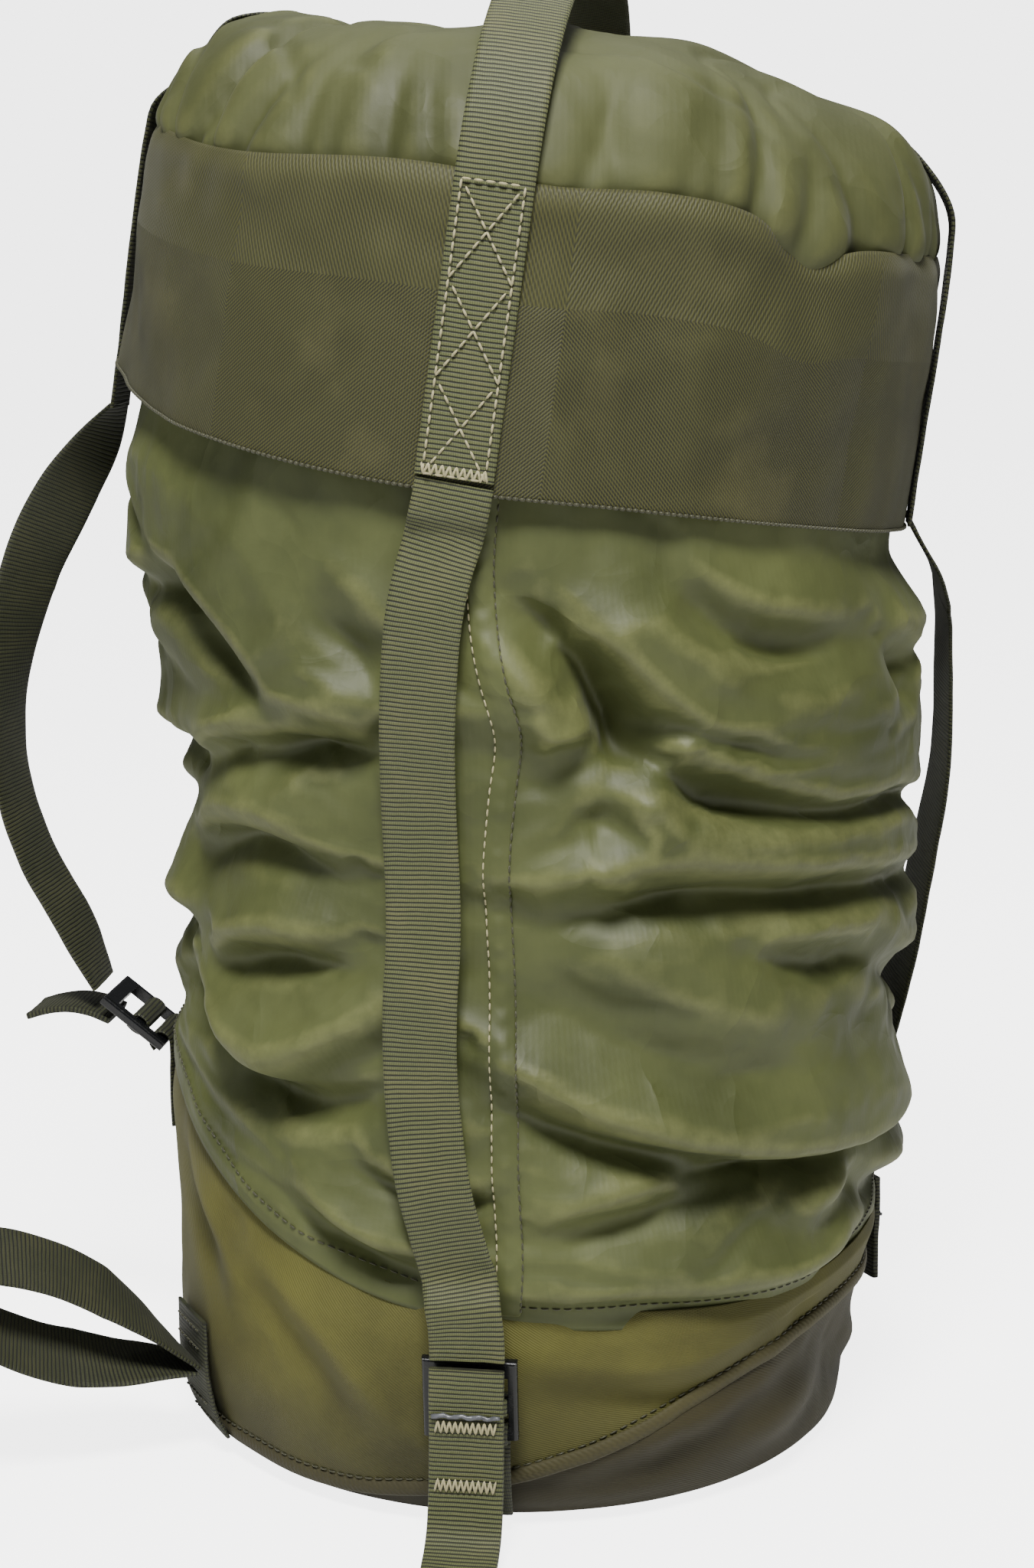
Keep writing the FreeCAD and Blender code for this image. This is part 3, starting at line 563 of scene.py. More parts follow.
FOLD_DEPTH = 1.45
FRONT_FOLDS = [
    ([(-172, 373), (-151, 346), (-135, 323), (-124, 303), (-113, 295)], (9, 24, 8)),
    ([(-134, 281), (-124, 288), (-112, 289)], (9, 14, 6)),
    ([(-150, 272), (-134, 290), (-124, 298)], (5, 10, 6)),
    ([(-156, 238), (-140, 254), (-128, 253), (-118, 244)], (8, 16, 7)),
    ([(-148, 200), (-133, 213), (-118, 214)], (8, 14, 7)),
    ([(-160, 200), (-142, 180), (-131, 169), (-118, 182), (-108, 198)], (10, 16, 8)),
    ([(-142, 164), (-126, 158), (-110, 172)], (7, 12, 6)),
    ([(-94, 333), (-85, 316), (-78, 289), (-80, 252)], (-9, 13, 9)),
    ([(-80, 320), (-68, 296), (-62, 276)], (6, 14, 10)),
    ([(-77, 303), (-65, 278), (-48, 266), (-20, 262), (-4, 260)], (11, 26, 8)),
    ([(-88, 236), (-71, 243), (-48, 239), (-20, 232), (0, 226)], (13, 20, 8)),
    ([(-84, 268), (-74, 262), (-70, 250)], (5, 12, 7)),
    ([(-93, 176), (-82, 161), (-64, 146), (-38, 137), (-4, 130)], (13, 22, 8)),
    ([(-87, 122), (-74, 128), (-58, 133)], (6, 14, 7)),
    ([(-88, 226), (-72, 202), (-55, 186), (-40, 182)], (5, 24, 16)),
    ([(-124, 126), (-114, 110), (-102, 102)], (6, 12, 6)),
    ([(-112, 138), (-102, 132), (-96, 134)], (5, 9, 5)),
    ([(-94, 92), (-70, 92), (-45, 88), (-22, 94)], (5, 12, 7)),
    ([(-84, 322), (-70, 300), (-56, 287), (-34, 280)], (7, 16, 6)),
    ([(-60, 222), (-44, 212), (-24, 214)], (6, 16, 7)),
    ([(-20, 320), (-12, 285), (-14, 250)], (7, 14, 10)),
    ([(-30, 205), (-12, 196), (6, 200)], (6, 14, 7)),
    ([(-118, 345), (-108, 322), (-104, 300)], (5, 12, 9)),
    ([(-66, 345), (-58, 330), (-40, 322)], (6, 15, 8)),
    ([(-45, 110), (-25, 118), (-8, 112)], (5, 12, 7)),
]


def side_and_back_folds():
    """Sagging smile folds in rows round the sides and the back, each row offset from the one below."""
    folds = []
    for row, height in enumerate((112, 146, 178, 214, 248, 282, 318, 346)):
        start = 4 + (row % 2) * 26
        for turn in range(start, 190, 52):
            middle = turn + random.uniform(-8, 8)
            rise = height + random.uniform(-9, 9)
            reach = random.uniform(15, 27)
            sag = random.uniform(-14, 18)
            line = [(middle - reach, rise + sag * 0.8), (middle - reach * 0.35, rise - sag * 0.2),
                    (middle + reach * 0.4, rise - sag * 0.1), (middle + reach, rise + sag)]
            if rise - HEM_LIFT > eased_through(HEM, [middle], 360)[0]:
                folds.append((line, (random.uniform(5, 9), random.uniform(12, 20), random.uniform(6, 9))))
    return folds


HEM_LIFT = 8


def settle_cloth(piece, held_rows, columns, core, drop, frames):
    """Lets the cloth of a slack sack sag round its stuffing: the sewn top row comes down by drop while the
    sewn bottom row stays, so that the spare length buckles into folds."""
    count = len(piece.data.vertices)
    rows = count // columns
    settled = np.empty(count * 3)
    piece.data.vertices.foreach_get("co", settled)
    settled = settled.reshape(rows, columns, 3)
    raised = settled.copy()
    raised[:, :, 2] += drop * np.linspace(0, 1, rows)[:, None]
    piece.data.vertices.foreach_set("co", raised.ravel())
    piece.shape_key_add(name="sewn long")
    down = piece.shape_key_add(name="come down")
    down.data.foreach_set("co", settled.ravel())
    down.value = 0.0
    down.keyframe_insert("value", frame=1)
    down.value = 1.0
    down.keyframe_insert("value", frame=frames - 6)
    group = piece.vertex_groups.new(name="sewn")
    for index in list(range(held_rows * columns)) + list(range((rows - held_rows) * columns, count)):
        group.add([index], 1.0, "REPLACE")
    core.modifiers.new("touch", "COLLISION")
    core.collision.thickness_outer = 1.0 * MM
    core.collision.cloth_friction = 8
    cloth = piece.modifiers.new("settle", "CLOTH")
    settings = cloth.settings
    settings.quality = 7
    settings.mass = 0.12
    settings.air_damping = 2.0
    settings.tension_stiffness = 20
    settings.compression_stiffness = 20
    settings.shear_stiffness = 8
    settings.bending_stiffness = 1.2
    settings.vertex_group_mass = "sewn"
    settings.shrink_min = -0.012
    settings.effector_weights.gravity = 0.3
    cloth.collision_settings.distance_min = 1.0 * MM
    cloth.point_cache.frame_end = frames
    scene = bpy.context.scene
    for number in range(1, frames + 1):
        scene.frame_set(number)
    apply_modifiers(piece)
    scene.frame_set(1)
    bpy.data.objects.remove(core)
    # keep within reach of the drawn folds where the simulation has thrown the cloth too far
    found = np.empty(count * 3)
    piece.data.vertices.foreach_get("co", found)
    found = found.reshape(rows, columns, 3)
    moved = found - settled
    length = np.linalg.norm(moved, axis=2, keepdims=True) + 1e-9
    found = settled + moved * np.minimum(0.55, 6 * MM / length)
    piece.data.vertices.foreach_set("co", found.ravel())
    piece.data.update()


# ---------------------------------------------------------------- sack wall

WALL_COLUMNS, WALL_ROWS = 264, 104


def round_places(turns, radius, heights):
    """Places at these turns in degrees, radii and heights."""
    angles = np.radians(turns)
    return np.stack([radius * np.cos(angles), radius * np.sin(angles), heights], 2)


def wall_radius(turns, heights):
    """The stuffed sack's outline: its own edge on the left, the right and the front, eased between."""
    z = heights / MM
    left, right, front = (eased_through(edge, z) for edge in (LEFT_EDGE, RIGHT_EDGE, FRONT_EDGE))
    cosine = np.cos(np.radians(turns))
    share = cosine ** 2
    side = np.where(cosine < 0, left, right)
    return (side * share + front * (1 - share)) * MM


def wall_places():
    turns = np.tile(np.linspace(-180, 180, WALL_COLUMNS, endpoint=False), (WALL_ROWS, 1))
    low = eased_through(HEM, turns[0], 360) * MM - 4 * MM
    climb = np.linspace(0, 1, WALL_ROWS)[:, None]
    heights = low[None, :] + climb * (WALL_TOP - low[None, :])
    radius = wall_radius(turns, heights)
    push = np.zeros_like(radius)
    for fold in FRONT_FOLDS + side_and_back_folds():
        push += fold_push(turns, heights, fold, 0.137)
    # the folds die out under the skirt and where the cloth is sewn to the base
    fade = np.clip((0.392 - heights) / 0.03, 0, 1) * np.clip((heights - low[None, :]) / 0.012, 0, 1)
    flat = round_places(turns, radius, heights)
    push += rumple(flat, 0.055, 5 * MM, 3.0) + rumple(flat, 0.02, 1.2 * MM, 9.0)
    push += creases(flat, (0.075, 0.075, 0.05), 2.2 * MM, 0.09, 13.0)
    radius = radius + push * fade
    # under the skirt the cloth keeps inside it, and the skirt leans down on the right
    angles = np.radians(turns)
    skirt_low = SKIRT_LOW - 0.0206 * np.cos(angles) - 6 * MM
    skirt_in = SKIRT_RADIUS - 3.2 * MM - (0.411 - heights) * math.sin(CAP_LEAN) * np.cos(angles)
    share = np.clip((heights - skirt_low + 0.022) / 0.022, 0, 1)
    radius = np.minimum(radius, 0.1475 * (1 - share) + skirt_in * share)
    return round_places(turns, radius, heights)


def vertex_vectors(mesh, kind):
    """The places ("co") or normals ("normal") of a mesh's vertices, a row each."""
    found = np.empty(len(mesh.vertices) * 3)
    mesh.vertices.foreach_get(kind, found)
    return found.reshape(-1, 3)


def crest_of(piece):
    """How far each place stands proud of its surroundings, 0 to 1: where a fold rubs and catches light."""
    mesh = piece.data
    count = len(mesh.vertices)
    places, normals = (vertex_vectors(mesh, kind) for kind in ("co", "normal"))
    edges = np.empty(len(mesh.edges) * 2, int)
    mesh.edges.foreach_get("vertices", edges)
    edges = edges.reshape(-1, 2)
    soft = places.copy()
    degree = np.bincount(edges.ravel(), minlength=count)[:, None]
    first, second = edges[:, 0], edges[:, 1]
    for _ in range(10):
        sums = [np.bincount(first, soft[second, k], count) + np.bincount(second, soft[first, k], count)
                for k in range(3)]
        soft = np.stack(sums, 1) / degree
    proud = ((places - soft) * normals).sum(1)
    return np.clip(proud / (0.9 * MM), 0, 1)


def mark_crests(piece):
    mesh = piece.data
    made = mesh.attributes.get("crest") or mesh.attributes.new("crest", "FLOAT", "POINT")
    made.data.foreach_set("value", crest_of(piece).astype(np.float32))


def make_wall():
    girth, rise = 2 * math.pi * 0.137, 0.35
    places = wall_places()
    wall = cloth_grid("sack_wall", places, girth, rise, BODY_NYLON)
    inner = places * np.array([0.975, 0.975, 1.0])
    core = cloth_grid("stuffing", inner, girth, rise, BODY_NYLON)
    settle_cloth(wall, 2, WALL_COLUMNS, core, 13 * MM, 22)
    smoothed(wall)
    mark_crests(wall)
    tree = surface_tree(wall)
    thickened(wall, 0.6 * MM)
    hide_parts("sack_wall_lower", "sack_wall_upper")
    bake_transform(wall)
    return tree


# ---------------------------------------------------------------- base

PANEL_SEAM = [(-180, 8), (-150, 8), (-115, 9), (-100, 15), (-82, 27), (-64, 42), (-46, 53), (-20, 60),
              (5, 58), (30, 40), (55, 16), (80, 8), (130, 8)]
BASE_PROFILE = [(0, 121.5), (4, 124), (10, 128), (20, 131.5), (33, 134), (50, 135.5), (75, 136.0),
                (105, 136.0), (152, 136.5)]
BASE_FOLDS = [
    ([(-135, 92), (-118, 62), (-110, 40)], (3, 14, 9)),
    ([(-90, 66), (-70, 60), (-48, 66)], (3, 14, 8)),
    ([(-84, 24), (-62, 38), (-40, 50)], (2.5, 9, 6)),
    ([(-60, 30), (-45, 26), (-30, 34)], (3, 14, 9)),
    ([(-20, 40), (-8, 30), (2, 36)], (3, 12, 8)),
    ([(-160, 120), (-145, 92), (-138, 70)], (3, 14, 9)),
    ([(30, 50), (60, 40), (90, 52)], (3, 16, 9)),
    ([(100, 60), (130, 74), (160, 66)], (3, 18, 10)),
]


def base_places(turns, heights, extra=0.0):
    radius = eased_through(BASE_PROFILE, heights / MM) * MM
    push = np.zeros_like(radius)
    for fold in BASE_FOLDS:
        push += fold_push(turns, heights, fold, 0.135)
    flat = round_places(turns, radius, heights)
    push += rumple(flat, 0.05, 3 * MM, 21.0) + rumple(flat, 0.018, 0.8 * MM, 27.0)
    # the filling doesn't reach the right of the foot, which draws in there
    slack = eased_through([(0, 0), (15, 5), (35, 11), (60, 7), (85, 0), (160, 0)], heights / MM) * MM
    radius = radius - slack * np.clip(np.cos(np.radians(turns)), 0, 1)
    radius = radius + np.clip(heights / 0.02, 0, 1) * push + extra
    return round_places(turns, radius, heights)


def make_base():
    columns, rows = 240, 34
    turns = np.tile(np.linspace(-180, 180, columns, endpoint=False), (rows, 1))
    seam = eased_through(PANEL_SEAM, turns[0], 360) * MM - 2 * MM
    hem = eased_through(HEM, turns[0], 360) * MM + 2 * MM
    climb = np.linspace(0, 1, rows)[:, None]
    heights = seam[None, :] + climb * (hem - seam)[None, :]
    places = base_places(turns, heights)
    # the hem is tucked in under the body cloth, which puffs out over it
    places[:, :, :2] *= (1 - 0.018 * np.clip((climb - 0.8) / 0.2, 0, 1))[:, :, None]
    wall = cloth_grid("base_cup", places, 0.85, 0.11, BASE_TWILL)
    smoothed(wall)
    mark_crests(wall)
    tree = surface_tree(wall)
    thickened(wall, 1.0 * MM)
    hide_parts("base_wall")
    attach(wall, "base")

    # the bottom cloth: a disc whose edge wraps up round the front right
    rings = 26
    disc = []
    for ring in range(rings):
        share = ring / (rings - 1)
        if share < 0.55:
            spread_out = share / 0.55
            radius = 0.004 + spread_out * 0.114
            height = 0.9 * MM + 0.5 * MM * spread_out
            row = [polar(t, radius, height) for t in turns[0]]
        else:
            rise = (share - 0.55) / 0.45
            lift = 1.4 * MM + rise * (seam + 4 * MM - 1.4 * MM)
            row = base_places(turns[:1], lift[None, :], 0.7 * MM - 0.4 * MM * rise)[0]
            ease = min(rise * 3, 1)
            row = [Vector(p) * 1.0 if ease == 1 else Vector((p[0] * (0.975 + 0.025 * ease),
                   p[1] * (0.975 + 0.025 * ease), p[2])) for p in row]
        disc.append([list(p) for p in row])
    panel = cloth_grid("bottom_cloth", np.array(disc), 0.78, 0.16, PANEL_TWILL)
    smoothed(panel)
    mark_crests(panel)
    thickened(panel, 0.9 * MM)
    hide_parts("base_panel")
    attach(panel, "base")

    # the bound seam round the foot of the cup
    path = [base_places(np.array([[t]]), np.array([[s]]), 0.9 * MM)[0, 0]
            for t, s in zip(turns[0][::2], (seam[::2] + 4 * MM))]
    binding = swept_loop("seam_binding", path, (3.0 * MM, 1.3 * MM), BINDING_TAPE)
    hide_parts("base_binding")
    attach(binding, "base")
    return tree


def swept_loop(name, path, half_size, material, sides=8):
    """A flattened tube along a closed ring of places; half_size is (up and down, in and out)."""
    count = len(path)
    verts, uvs, faces = [], [], []
    for i, place in enumerate(path):
        place = Vector(place)
        ahead = Vector(path[(i + 1) % count]) - Vector(path[i - 1])
        ahead.normalize()
        out = Vector((place.x, place.y, 0)).normalized()
        rise = ahead.cross(out).normalized()
        if rise.z < 0:
            rise = -rise
        for k in range(sides):
            a = 2 * math.pi * k / sides
            verts.append(place + rise * half_size[0] * math.sin(a) + out * half_size[1] * math.cos(a))
    for i in range(count):
        n = (i + 1) % count
        for k in range(sides):
            m = (k + 1) % sides
            faces.append((i * sides + k, n * sides + k, n * sides + m, i * sides + m))
            u0, u1 = i * 5 * MM, (i + 1) * 5 * MM
            v0, v1 = k * 1.2 * MM, (k + 1) * 1.2 * MM
            uvs += [(u0, v0), (u1, v0), (u1, v1), (u0, v1)]
    made = new_object(name, verts, faces, uvs, material)
    mark_crests(made)
    return made


# ---------------------------------------------------------------- cap: skirt and crown, built upright

SKIRT_LOW_EDGE = [(-180, 19), (-150, 8), (-107, 0), (-75, 2), (0, 0), (40, 2), (90, 4), (140, 10)]
SKIRT_HIGH_EDGE = [(-180, 7), (-135, -2), (-105, 2), (-90, 0), (-75, 3), (-62, 0), (-52, -11), (-44, -6),
                   (-30, -4), (0, -2), (60, 1), (120, 3)]


def skirt_radius(turns, heights):
    """Round the leaning cap: a soft, slightly uneven hoop, creased below the notch at the front right."""
    crease = np.exp(-((turns + 54) / 6.0) ** 2) * 2.2 * MM * np.clip((heights - 0.38) / 0.08, 0, 1)
    sway = (1.1 * np.sin(np.radians(turns * 3 + 40)) + 0.7 * np.sin(np.radians(turns * 5 - 10))) * MM
    flare = 1.2 * MM * np.clip((0.39 - heights) / 0.03, 0, 1)
    return SKIRT_RADIUS - 0.2 * MM - crease + sway * 0.8 + flare


def skirt_rows(turns, rows):
    low = SKIRT_LOW + eased_through(SKIRT_LOW_EDGE, turns, 360) * MM
    high = SKIRT_HIGH + eased_through(SKIRT_HIGH_EDGE, turns, 360) * MM
    return low[None, :] + np.linspace(0, 1, rows)[:, None] * (high - low)[None, :]


def make_skirt():
    columns, rows = 300, 34
    turns = np.linspace(-180, 180, columns, endpoint=False)
    heights = skirt_rows(turns, rows)
    grid = np.tile(turns, (rows, 1))
    radius = skirt_radius(grid, heights)
    flat = np.stack([0.146 * np.cos(np.radians(grid)), 0.146 * np.sin(np.radians(grid)), heights], 2)
    radius = radius + rumple(flat, 0.045, 4.0 * MM, 41.0) + rumple(flat, 0.016, 0.9 * MM, 47.0)
    # a rolled upper edge, drawn in by the seam, and a folded lower edge
    climb = np.linspace(0, 1, rows)[:, None]
    radius = np.minimum(radius, SKIRT_RADIUS + 0.9 * MM)
    radius = radius - 2.4 * MM * np.clip((climb - 0.93) / 0.07, 0, 1) ** 2
    angles = np.radians(grid)
    places = np.stack([radius * np.cos(angles), radius * np.sin(angles), heights], 2)
    band = cloth_grid("skirt_twill", lean_all(places.reshape(-1, 3)).reshape(places.shape),
                      2 * math.pi * SKIRT_RADIUS, 0.1, BAND)
    smoothed(band)
    mark_crests(band)
    tree = surface_tree(band)
    thickened(band, 1.6 * MM)
    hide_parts("skirt_band")
    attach(band, "cap")
    return tree


CROWN_PROFILE = [(0.0, 513.5), (0.25, 514.0), (0.45, 512.5), (0.62, 510.0), (0.76, 505.5), (0.86, 498.5),
                 (0.93, 488.0), (0.975, 474.0), (0.992, 462.0), (0.972, 456.0)]


def make_crown():
    columns, rows = 280, 60
    turns = np.linspace(-180, 180, columns, endpoint=False)
    shares = np.linspace(0.02, 1.0, rows)
    knots = np.array(CROWN_PROFILE)
    run = np.concatenate([[0], np.cumsum(np.hypot(np.diff(knots[:, 0] * 146), np.diff(knots[:, 1])))])
    run /= run[-1]
    reach = eased_through(list(zip(run, knots[:, 0])), shares)
    rise = eased_through(list(zip(run, knots[:, 1])), shares)
    grid = np.tile(turns, (rows, 1))
    shares = np.tile(shares[:, None], (1, columns))
    radius = np.tile(reach[:, None], (1, columns)) * (SKIRT_RADIUS - 1.2 * MM)
    heights = np.tile(rise[:, None], (1, columns)) * MM
    edge = eased_through(SKIRT_HIGH_EDGE, turns, 360)[None, :] * MM
    heights = heights + edge * np.clip((shares - 0.55) / 0.4, 0, 1)
    # pleats run up from the seam, about 16 mm apart and uneven, and soft swells lie across the top
    pleat = np.zeros_like(radius)
    spots = [t + random.uniform(-3.5, 3.5) for t in np.arange(-180, 180, 7.5)]
    for spot in spots:
        wide, deep, tall = random.uniform(1.2, 3.6), random.uniform(2.5, 8.0), random.uniform(0.14, 0.5)
        gap = (grid - spot + 180) % 360 - 180 + (1 - shares) * random.uniform(-30, 30)
        along = np.clip((shares - (0.95 - tall)) / tall, 0, 1)
        pleat -= deep * MM * np.exp(-np.abs(gap / wide) ** 1.2) * along
    flat = np.stack([radius * np.cos(np.radians(grid)), radius * np.sin(np.radians(grid)), heights], 2)
    swell = rumple(flat, 0.06, 9 * MM, 61.0) + rumple(flat, 0.025, 2.0 * MM, 67.0)
    swell += creases(flat, (0.07, 0.055, 0.055), 6.0 * MM, 0.12, 71.0)
    swell += creases(flat, (0.045, 0.035, 0.035), 3.0 * MM, 0.1, 83.0)
    inner = np.clip((0.96 - shares) / 0.2, 0, 1)
    heights = heights + swell * inner * np.clip(shares / 0.1, 0.3, 1) + 0.5 * pleat
    radius = radius + pleat * np.clip((shares - 0.4) / 0.3, 0, 1)
    radius = radius + 3.0 * MM * np.exp(-((grid + 52) / 12) ** 2) * np.exp(-((shares - 0.9) / 0.06) ** 2)
    angles = np.radians(grid)
    places = np.stack([radius * np.cos(angles), radius * np.sin(angles), heights], 2)
    places = lean_all(places.reshape(-1, 3)).reshape(places.shape)
    verts = [Vector(p) for p in places.reshape(-1, 3)]
    top = len(verts)
    verts.append(sum((Vector(p) for p in places[0]), Vector()) / columns)
    faces, uvs = [], []
    for r in range(rows - 1):
        for c in range(columns):
            n = (c + 1) % columns
            quad = (r * columns + c, (r + 1) * columns + c, (r + 1) * columns + n, r * columns + n)
            faces.append(quad)
            uvs += [(verts[i].x, verts[i].y) for i in quad]
    for c in range(columns):
        ring = (top, c, (c + 1) % columns)
        faces.append(ring)
        uvs += [(verts[i].x, verts[i].y) for i in ring]
    crown = new_object("crown_cloth", verts, faces, uvs, CROWN_NYLON)
    smoothed(crown)
    mark_crests(crown)
    tree = surface_tree(crown)
    thickened(crown, 0.6 * MM, -1.0)
    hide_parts("crown")
    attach(crown, "cap")
    return tree


# ---------------------------------------------------------------- webbing

def strap(name, path, acrosses, material, width=STRAP_WIDTH, thick=STRAP_THICK, step=2.2 * MM, curl=0.5 * MM,
          run=0.0):
    """Webbing along a path: a flat band with rounded selvedges, its ribs measured on from run."""
    path = [Vector(p) for p in path]
    line = fine_line(path, step)
    spots = np.linspace(0, len(acrosses) - 1, len(line))
    sides = []
    for s in spots:
        low = min(int(s), len(acrosses) - 2)
        sides.append((Vector(acrosses[low]).lerp(Vector(acrosses[low + 1]), s - low)).normalized())
    section = [(-0.5, 0.0), (-0.485, 0.42), (-0.42, 0.5), (-0.25, 0.5), (0.0, 0.5), (0.25, 0.5), (0.42, 0.5),
               (0.485, 0.42), (0.5, 0.0), (0.485, -0.42), (0.42, -0.5), (0.25, -0.5), (0.0, -0.5),
               (-0.25, -0.5), (-0.42, -0.5), (-0.485, -0.42)]
    verts, uvs, faces = [], [], []
    count = len(section)
    runs = []
    for i, place in enumerate(line):
        place = Vector(place)
        ahead = Vector(line[min(i + 1, len(line) - 1)]) - Vector(line[max(i - 1, 0)])
        ahead.normalize()
        side = (sides[i] - ahead * sides[i].dot(ahead)).normalized()
        out = side.cross(ahead).normalized()
        if i:
            run += (place - Vector(line[i - 1])).length
        runs.append(run)
        for a, b in section:
            wavy = 0.25 * MM * noise.noise(Vector((run / 0.011, a * 3, 5.0)))
            bow = curl * (1 - (2 * a) ** 2)
            verts.append(place + side * (a * width) + out * (b * thick + bow + wavy))
    for i in range(len(line) - 1):
        for k in range(count):
            n = (k + 1) % count
            faces.append((i * count + k, i * count + n, (i + 1) * count + n, (i + 1) * count + k))
            ka, kb = section[k][0] * width, section[n][0] * width
            uvs += [(ka, runs[i]), (kb, runs[i]), (kb, runs[i + 1]), (ka, runs[i + 1])]
    last = (len(line) - 1) * count
    faces.append(tuple(reversed(range(count))))
    uvs += [(section[k][0] * width, -0.001) for k in reversed(range(count))]
    faces.append(tuple(last + k for k in range(count)))
    uvs += [(section[k][0] * width, runs[-1] + 0.001) for k in range(count)]
    made = new_object(name, verts, faces, uvs, material)
    fix_outward(made)
    made.data.set_sharp_from_angle(angle=math.radians(62))
    return made


def fix_outward(piece):
    """Turns every face outwards."""
    work = bmesh.new()
    work.from_mesh(piece.data)
    bmesh.ops.recalc_face_normals(work, faces=work.faces)
    work.to_mesh(piece.data)
    work.free()


def tube_faces(base, rings, sides):
    """The faces of a tube of rings of vertices, closed at both ends, from vertex number base on."""
    faces = []
    for r in range(rings - 1):
        for k in range(sides):
            n = (k + 1) % sides
            faces.append((base + r * sides + k, base + r * sides + n,
                          base + (r + 1) * sides + n, base + (r + 1) * sides + k))
    faces.append(tuple(base + k for k in reversed(range(sides))))
    faces.append(tuple(base + (rings - 1) * sides + k for k in range(sides)))
    return faces


def thread(name, runs, radius, material, owner):
    """Sewn stitches as one piece: each run is a list of (place, outward) where a stitch starts or ends."""
    verts, faces = [], []
    sides = 6
    for start, end, out in runs:
        start, end = Vector(start), Vector(end)
        ahead = (end - start).normalized()
        side = ahead.cross(out).normalized()
        up = side.cross(ahead).normalized()
        base = len(verts)
        rings = [(0.0, 0.25, -0.3), (0.18, 0.9, 0.35), (0.5, 1.0, 0.55), (0.82, 0.9, 0.35), (1.0, 0.25, -0.3)]
        for share, scale, lift in rings:
            middle = start.lerp(end, share) + up * radius * lift
            for k in range(sides):
                a = 2 * math.pi * k / sides
                verts.append(middle + (side * math.cos(a) + up * math.sin(a)) * radius * scale)
        faces += tube_faces(base, len(rings), sides)
    made = new_object(name, verts, faces, None, material)
    fix_outward(made)
    if isinstance(owner, str):
        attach(made, owner)
    else:
        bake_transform(made)
    return made


def stitch_line(places, outs, length, gap):
    """Splits a line of places into stitches with gaps between them."""
    places = [Vector(p) for p in places]
    outs = [Vector(o) for o in outs]
    run = [0.0]
    for a, b in zip(places, places[1:]):
        run.append(run[-1] + (b - a).length)

    def at(distance):
        spot = max(min(np.searchsorted(run, distance) - 1, len(run) - 2), 0)
        share = (distance - run[spot]) / max(run[spot + 1] - run[spot], 1e-9)
        return places[spot].lerp(places[spot + 1], share), outs[spot]
    made = []
    where = 0.0
    while where + length <= run[-1]:
        first, out = at(where)
        second, _ = at(where + length)
        made.append((first, second, out))
        where += length + gap
    return made


def zigzag(origin, across, along, out, width, height, pitch):
    """A bar-tack: dense zigzag stitches across the webbing."""
    made = []
    count = max(int(width / pitch), 2)
    for i in range(count):
        x0 = -width / 2 + width * i / count
        x1 = x0 + width / count
        up = height / 2 if i % 2 else -height / 2
        made.append((origin + across * x0 - along * up, origin + across * x1 + along * up, out))
    return made


FRONT_LINE = [(367.5, -99.3), (358, -100.0), (345, -101.6), (321, -103.5), (295, -104.5), (269, -105),
              (216, -104.5), (162, -104.5), (135, -103), (107, -100.5), (86, -98.4), (64, -98)]
RUN_LINES = {
    # (degrees, radius, height) in mm from the skirt down to the buckle
    "front": None,
    "right": [(-6.3, 141.0, 344), (-5.6, 145.5, 336), (-3, 151.5, 325), (2, 157, 306), (5, 159.5, 283),
              (7, 161, 250), (12, 159, 205), (16, 155, 160), (20, 151, 125), (23, 149.6, 92), (24, 149, 66)],
    "back": [(85.5, 148.2, 365), (85.7, 149.0, 350), (85, 151, 320), (84.6, 151.8, 280), (84, 152, 230),
             (83.4, 151.5, 180), (83, 150.4, 130), (82, 150.2, 90), (82, 149.2, 66)],
    "left": [(174.2, 154.3, 385), (174, 162.5, 371), (173.8, 175, 352), (173.6, 189, 326), (173.4, 199, 295),
             (173, 202.5, 262), (172.8, 200.5, 232), (172.5, 192, 206), (172.3, 179, 182), (172, 168.6, 158)],
}
ANCHOR_AZIMUTH = {"front": -98.0, "right": 24.0, "back": 82.0, "left": 172.0}
RUN_SPLIT = 0.315
LEFT_TWIST = [(158, 0), (180, 20), (215, 18), (262, 12), (310, 40), (345, 52), (368, 30), (385, 0)]


def run_across(side, turn, height):
    """The direction across a strap's run; the slack left strap twists to show its face to the front."""
    if side != "left":
        return sideways(turn)
    twist = math.radians(eased_through(LEFT_TWIST, [height / MM])[0])
    return sideways(turn) * math.cos(twist) + polar(turn, 1, 0.35) * math.sin(twist)



def run_path(side, wall_tree):
    """The places down the middle of a strap's free run."""
    if side != "front":
        return [polar(t, r * MM, z * MM) for t, r, z in RUN_LINES[side]]
    heights = np.arange(FRONT_LINE[0][0], FRONT_LINE[-1][0], -9.0)
    turns = eased_through(sorted(FRONT_LINE), heights)
    reaches = []
    for height, turn in zip(heights, turns):
        near = [on_surface(wall_tree, turn + t, (height + z) * MM, 0)[0]
                for t in (-6, -4, -2, 0, 2, 4, 6) for z in (-6, 0, 6)]
        reaches.append(max(math.hypot(spot.x, spot.y) for spot in near) + 1.7 * MM)
    reaches = np.array(reaches)
    # tight webbing bridges the hollows between the folds that it presses on
    for _ in range(6):
        reaches[1:-1] = np.maximum(reaches[1:-1], (reaches[:-2] + reaches[2:]) / 2)
    reaches = np.where(heights > 350, 0.1491, reaches)
    reaches = np.where(heights < 95, np.maximum(reaches, 0.1496), reaches)
    return [polar(t, r, z * MM) for t, r, z in zip(turns, reaches, heights)]


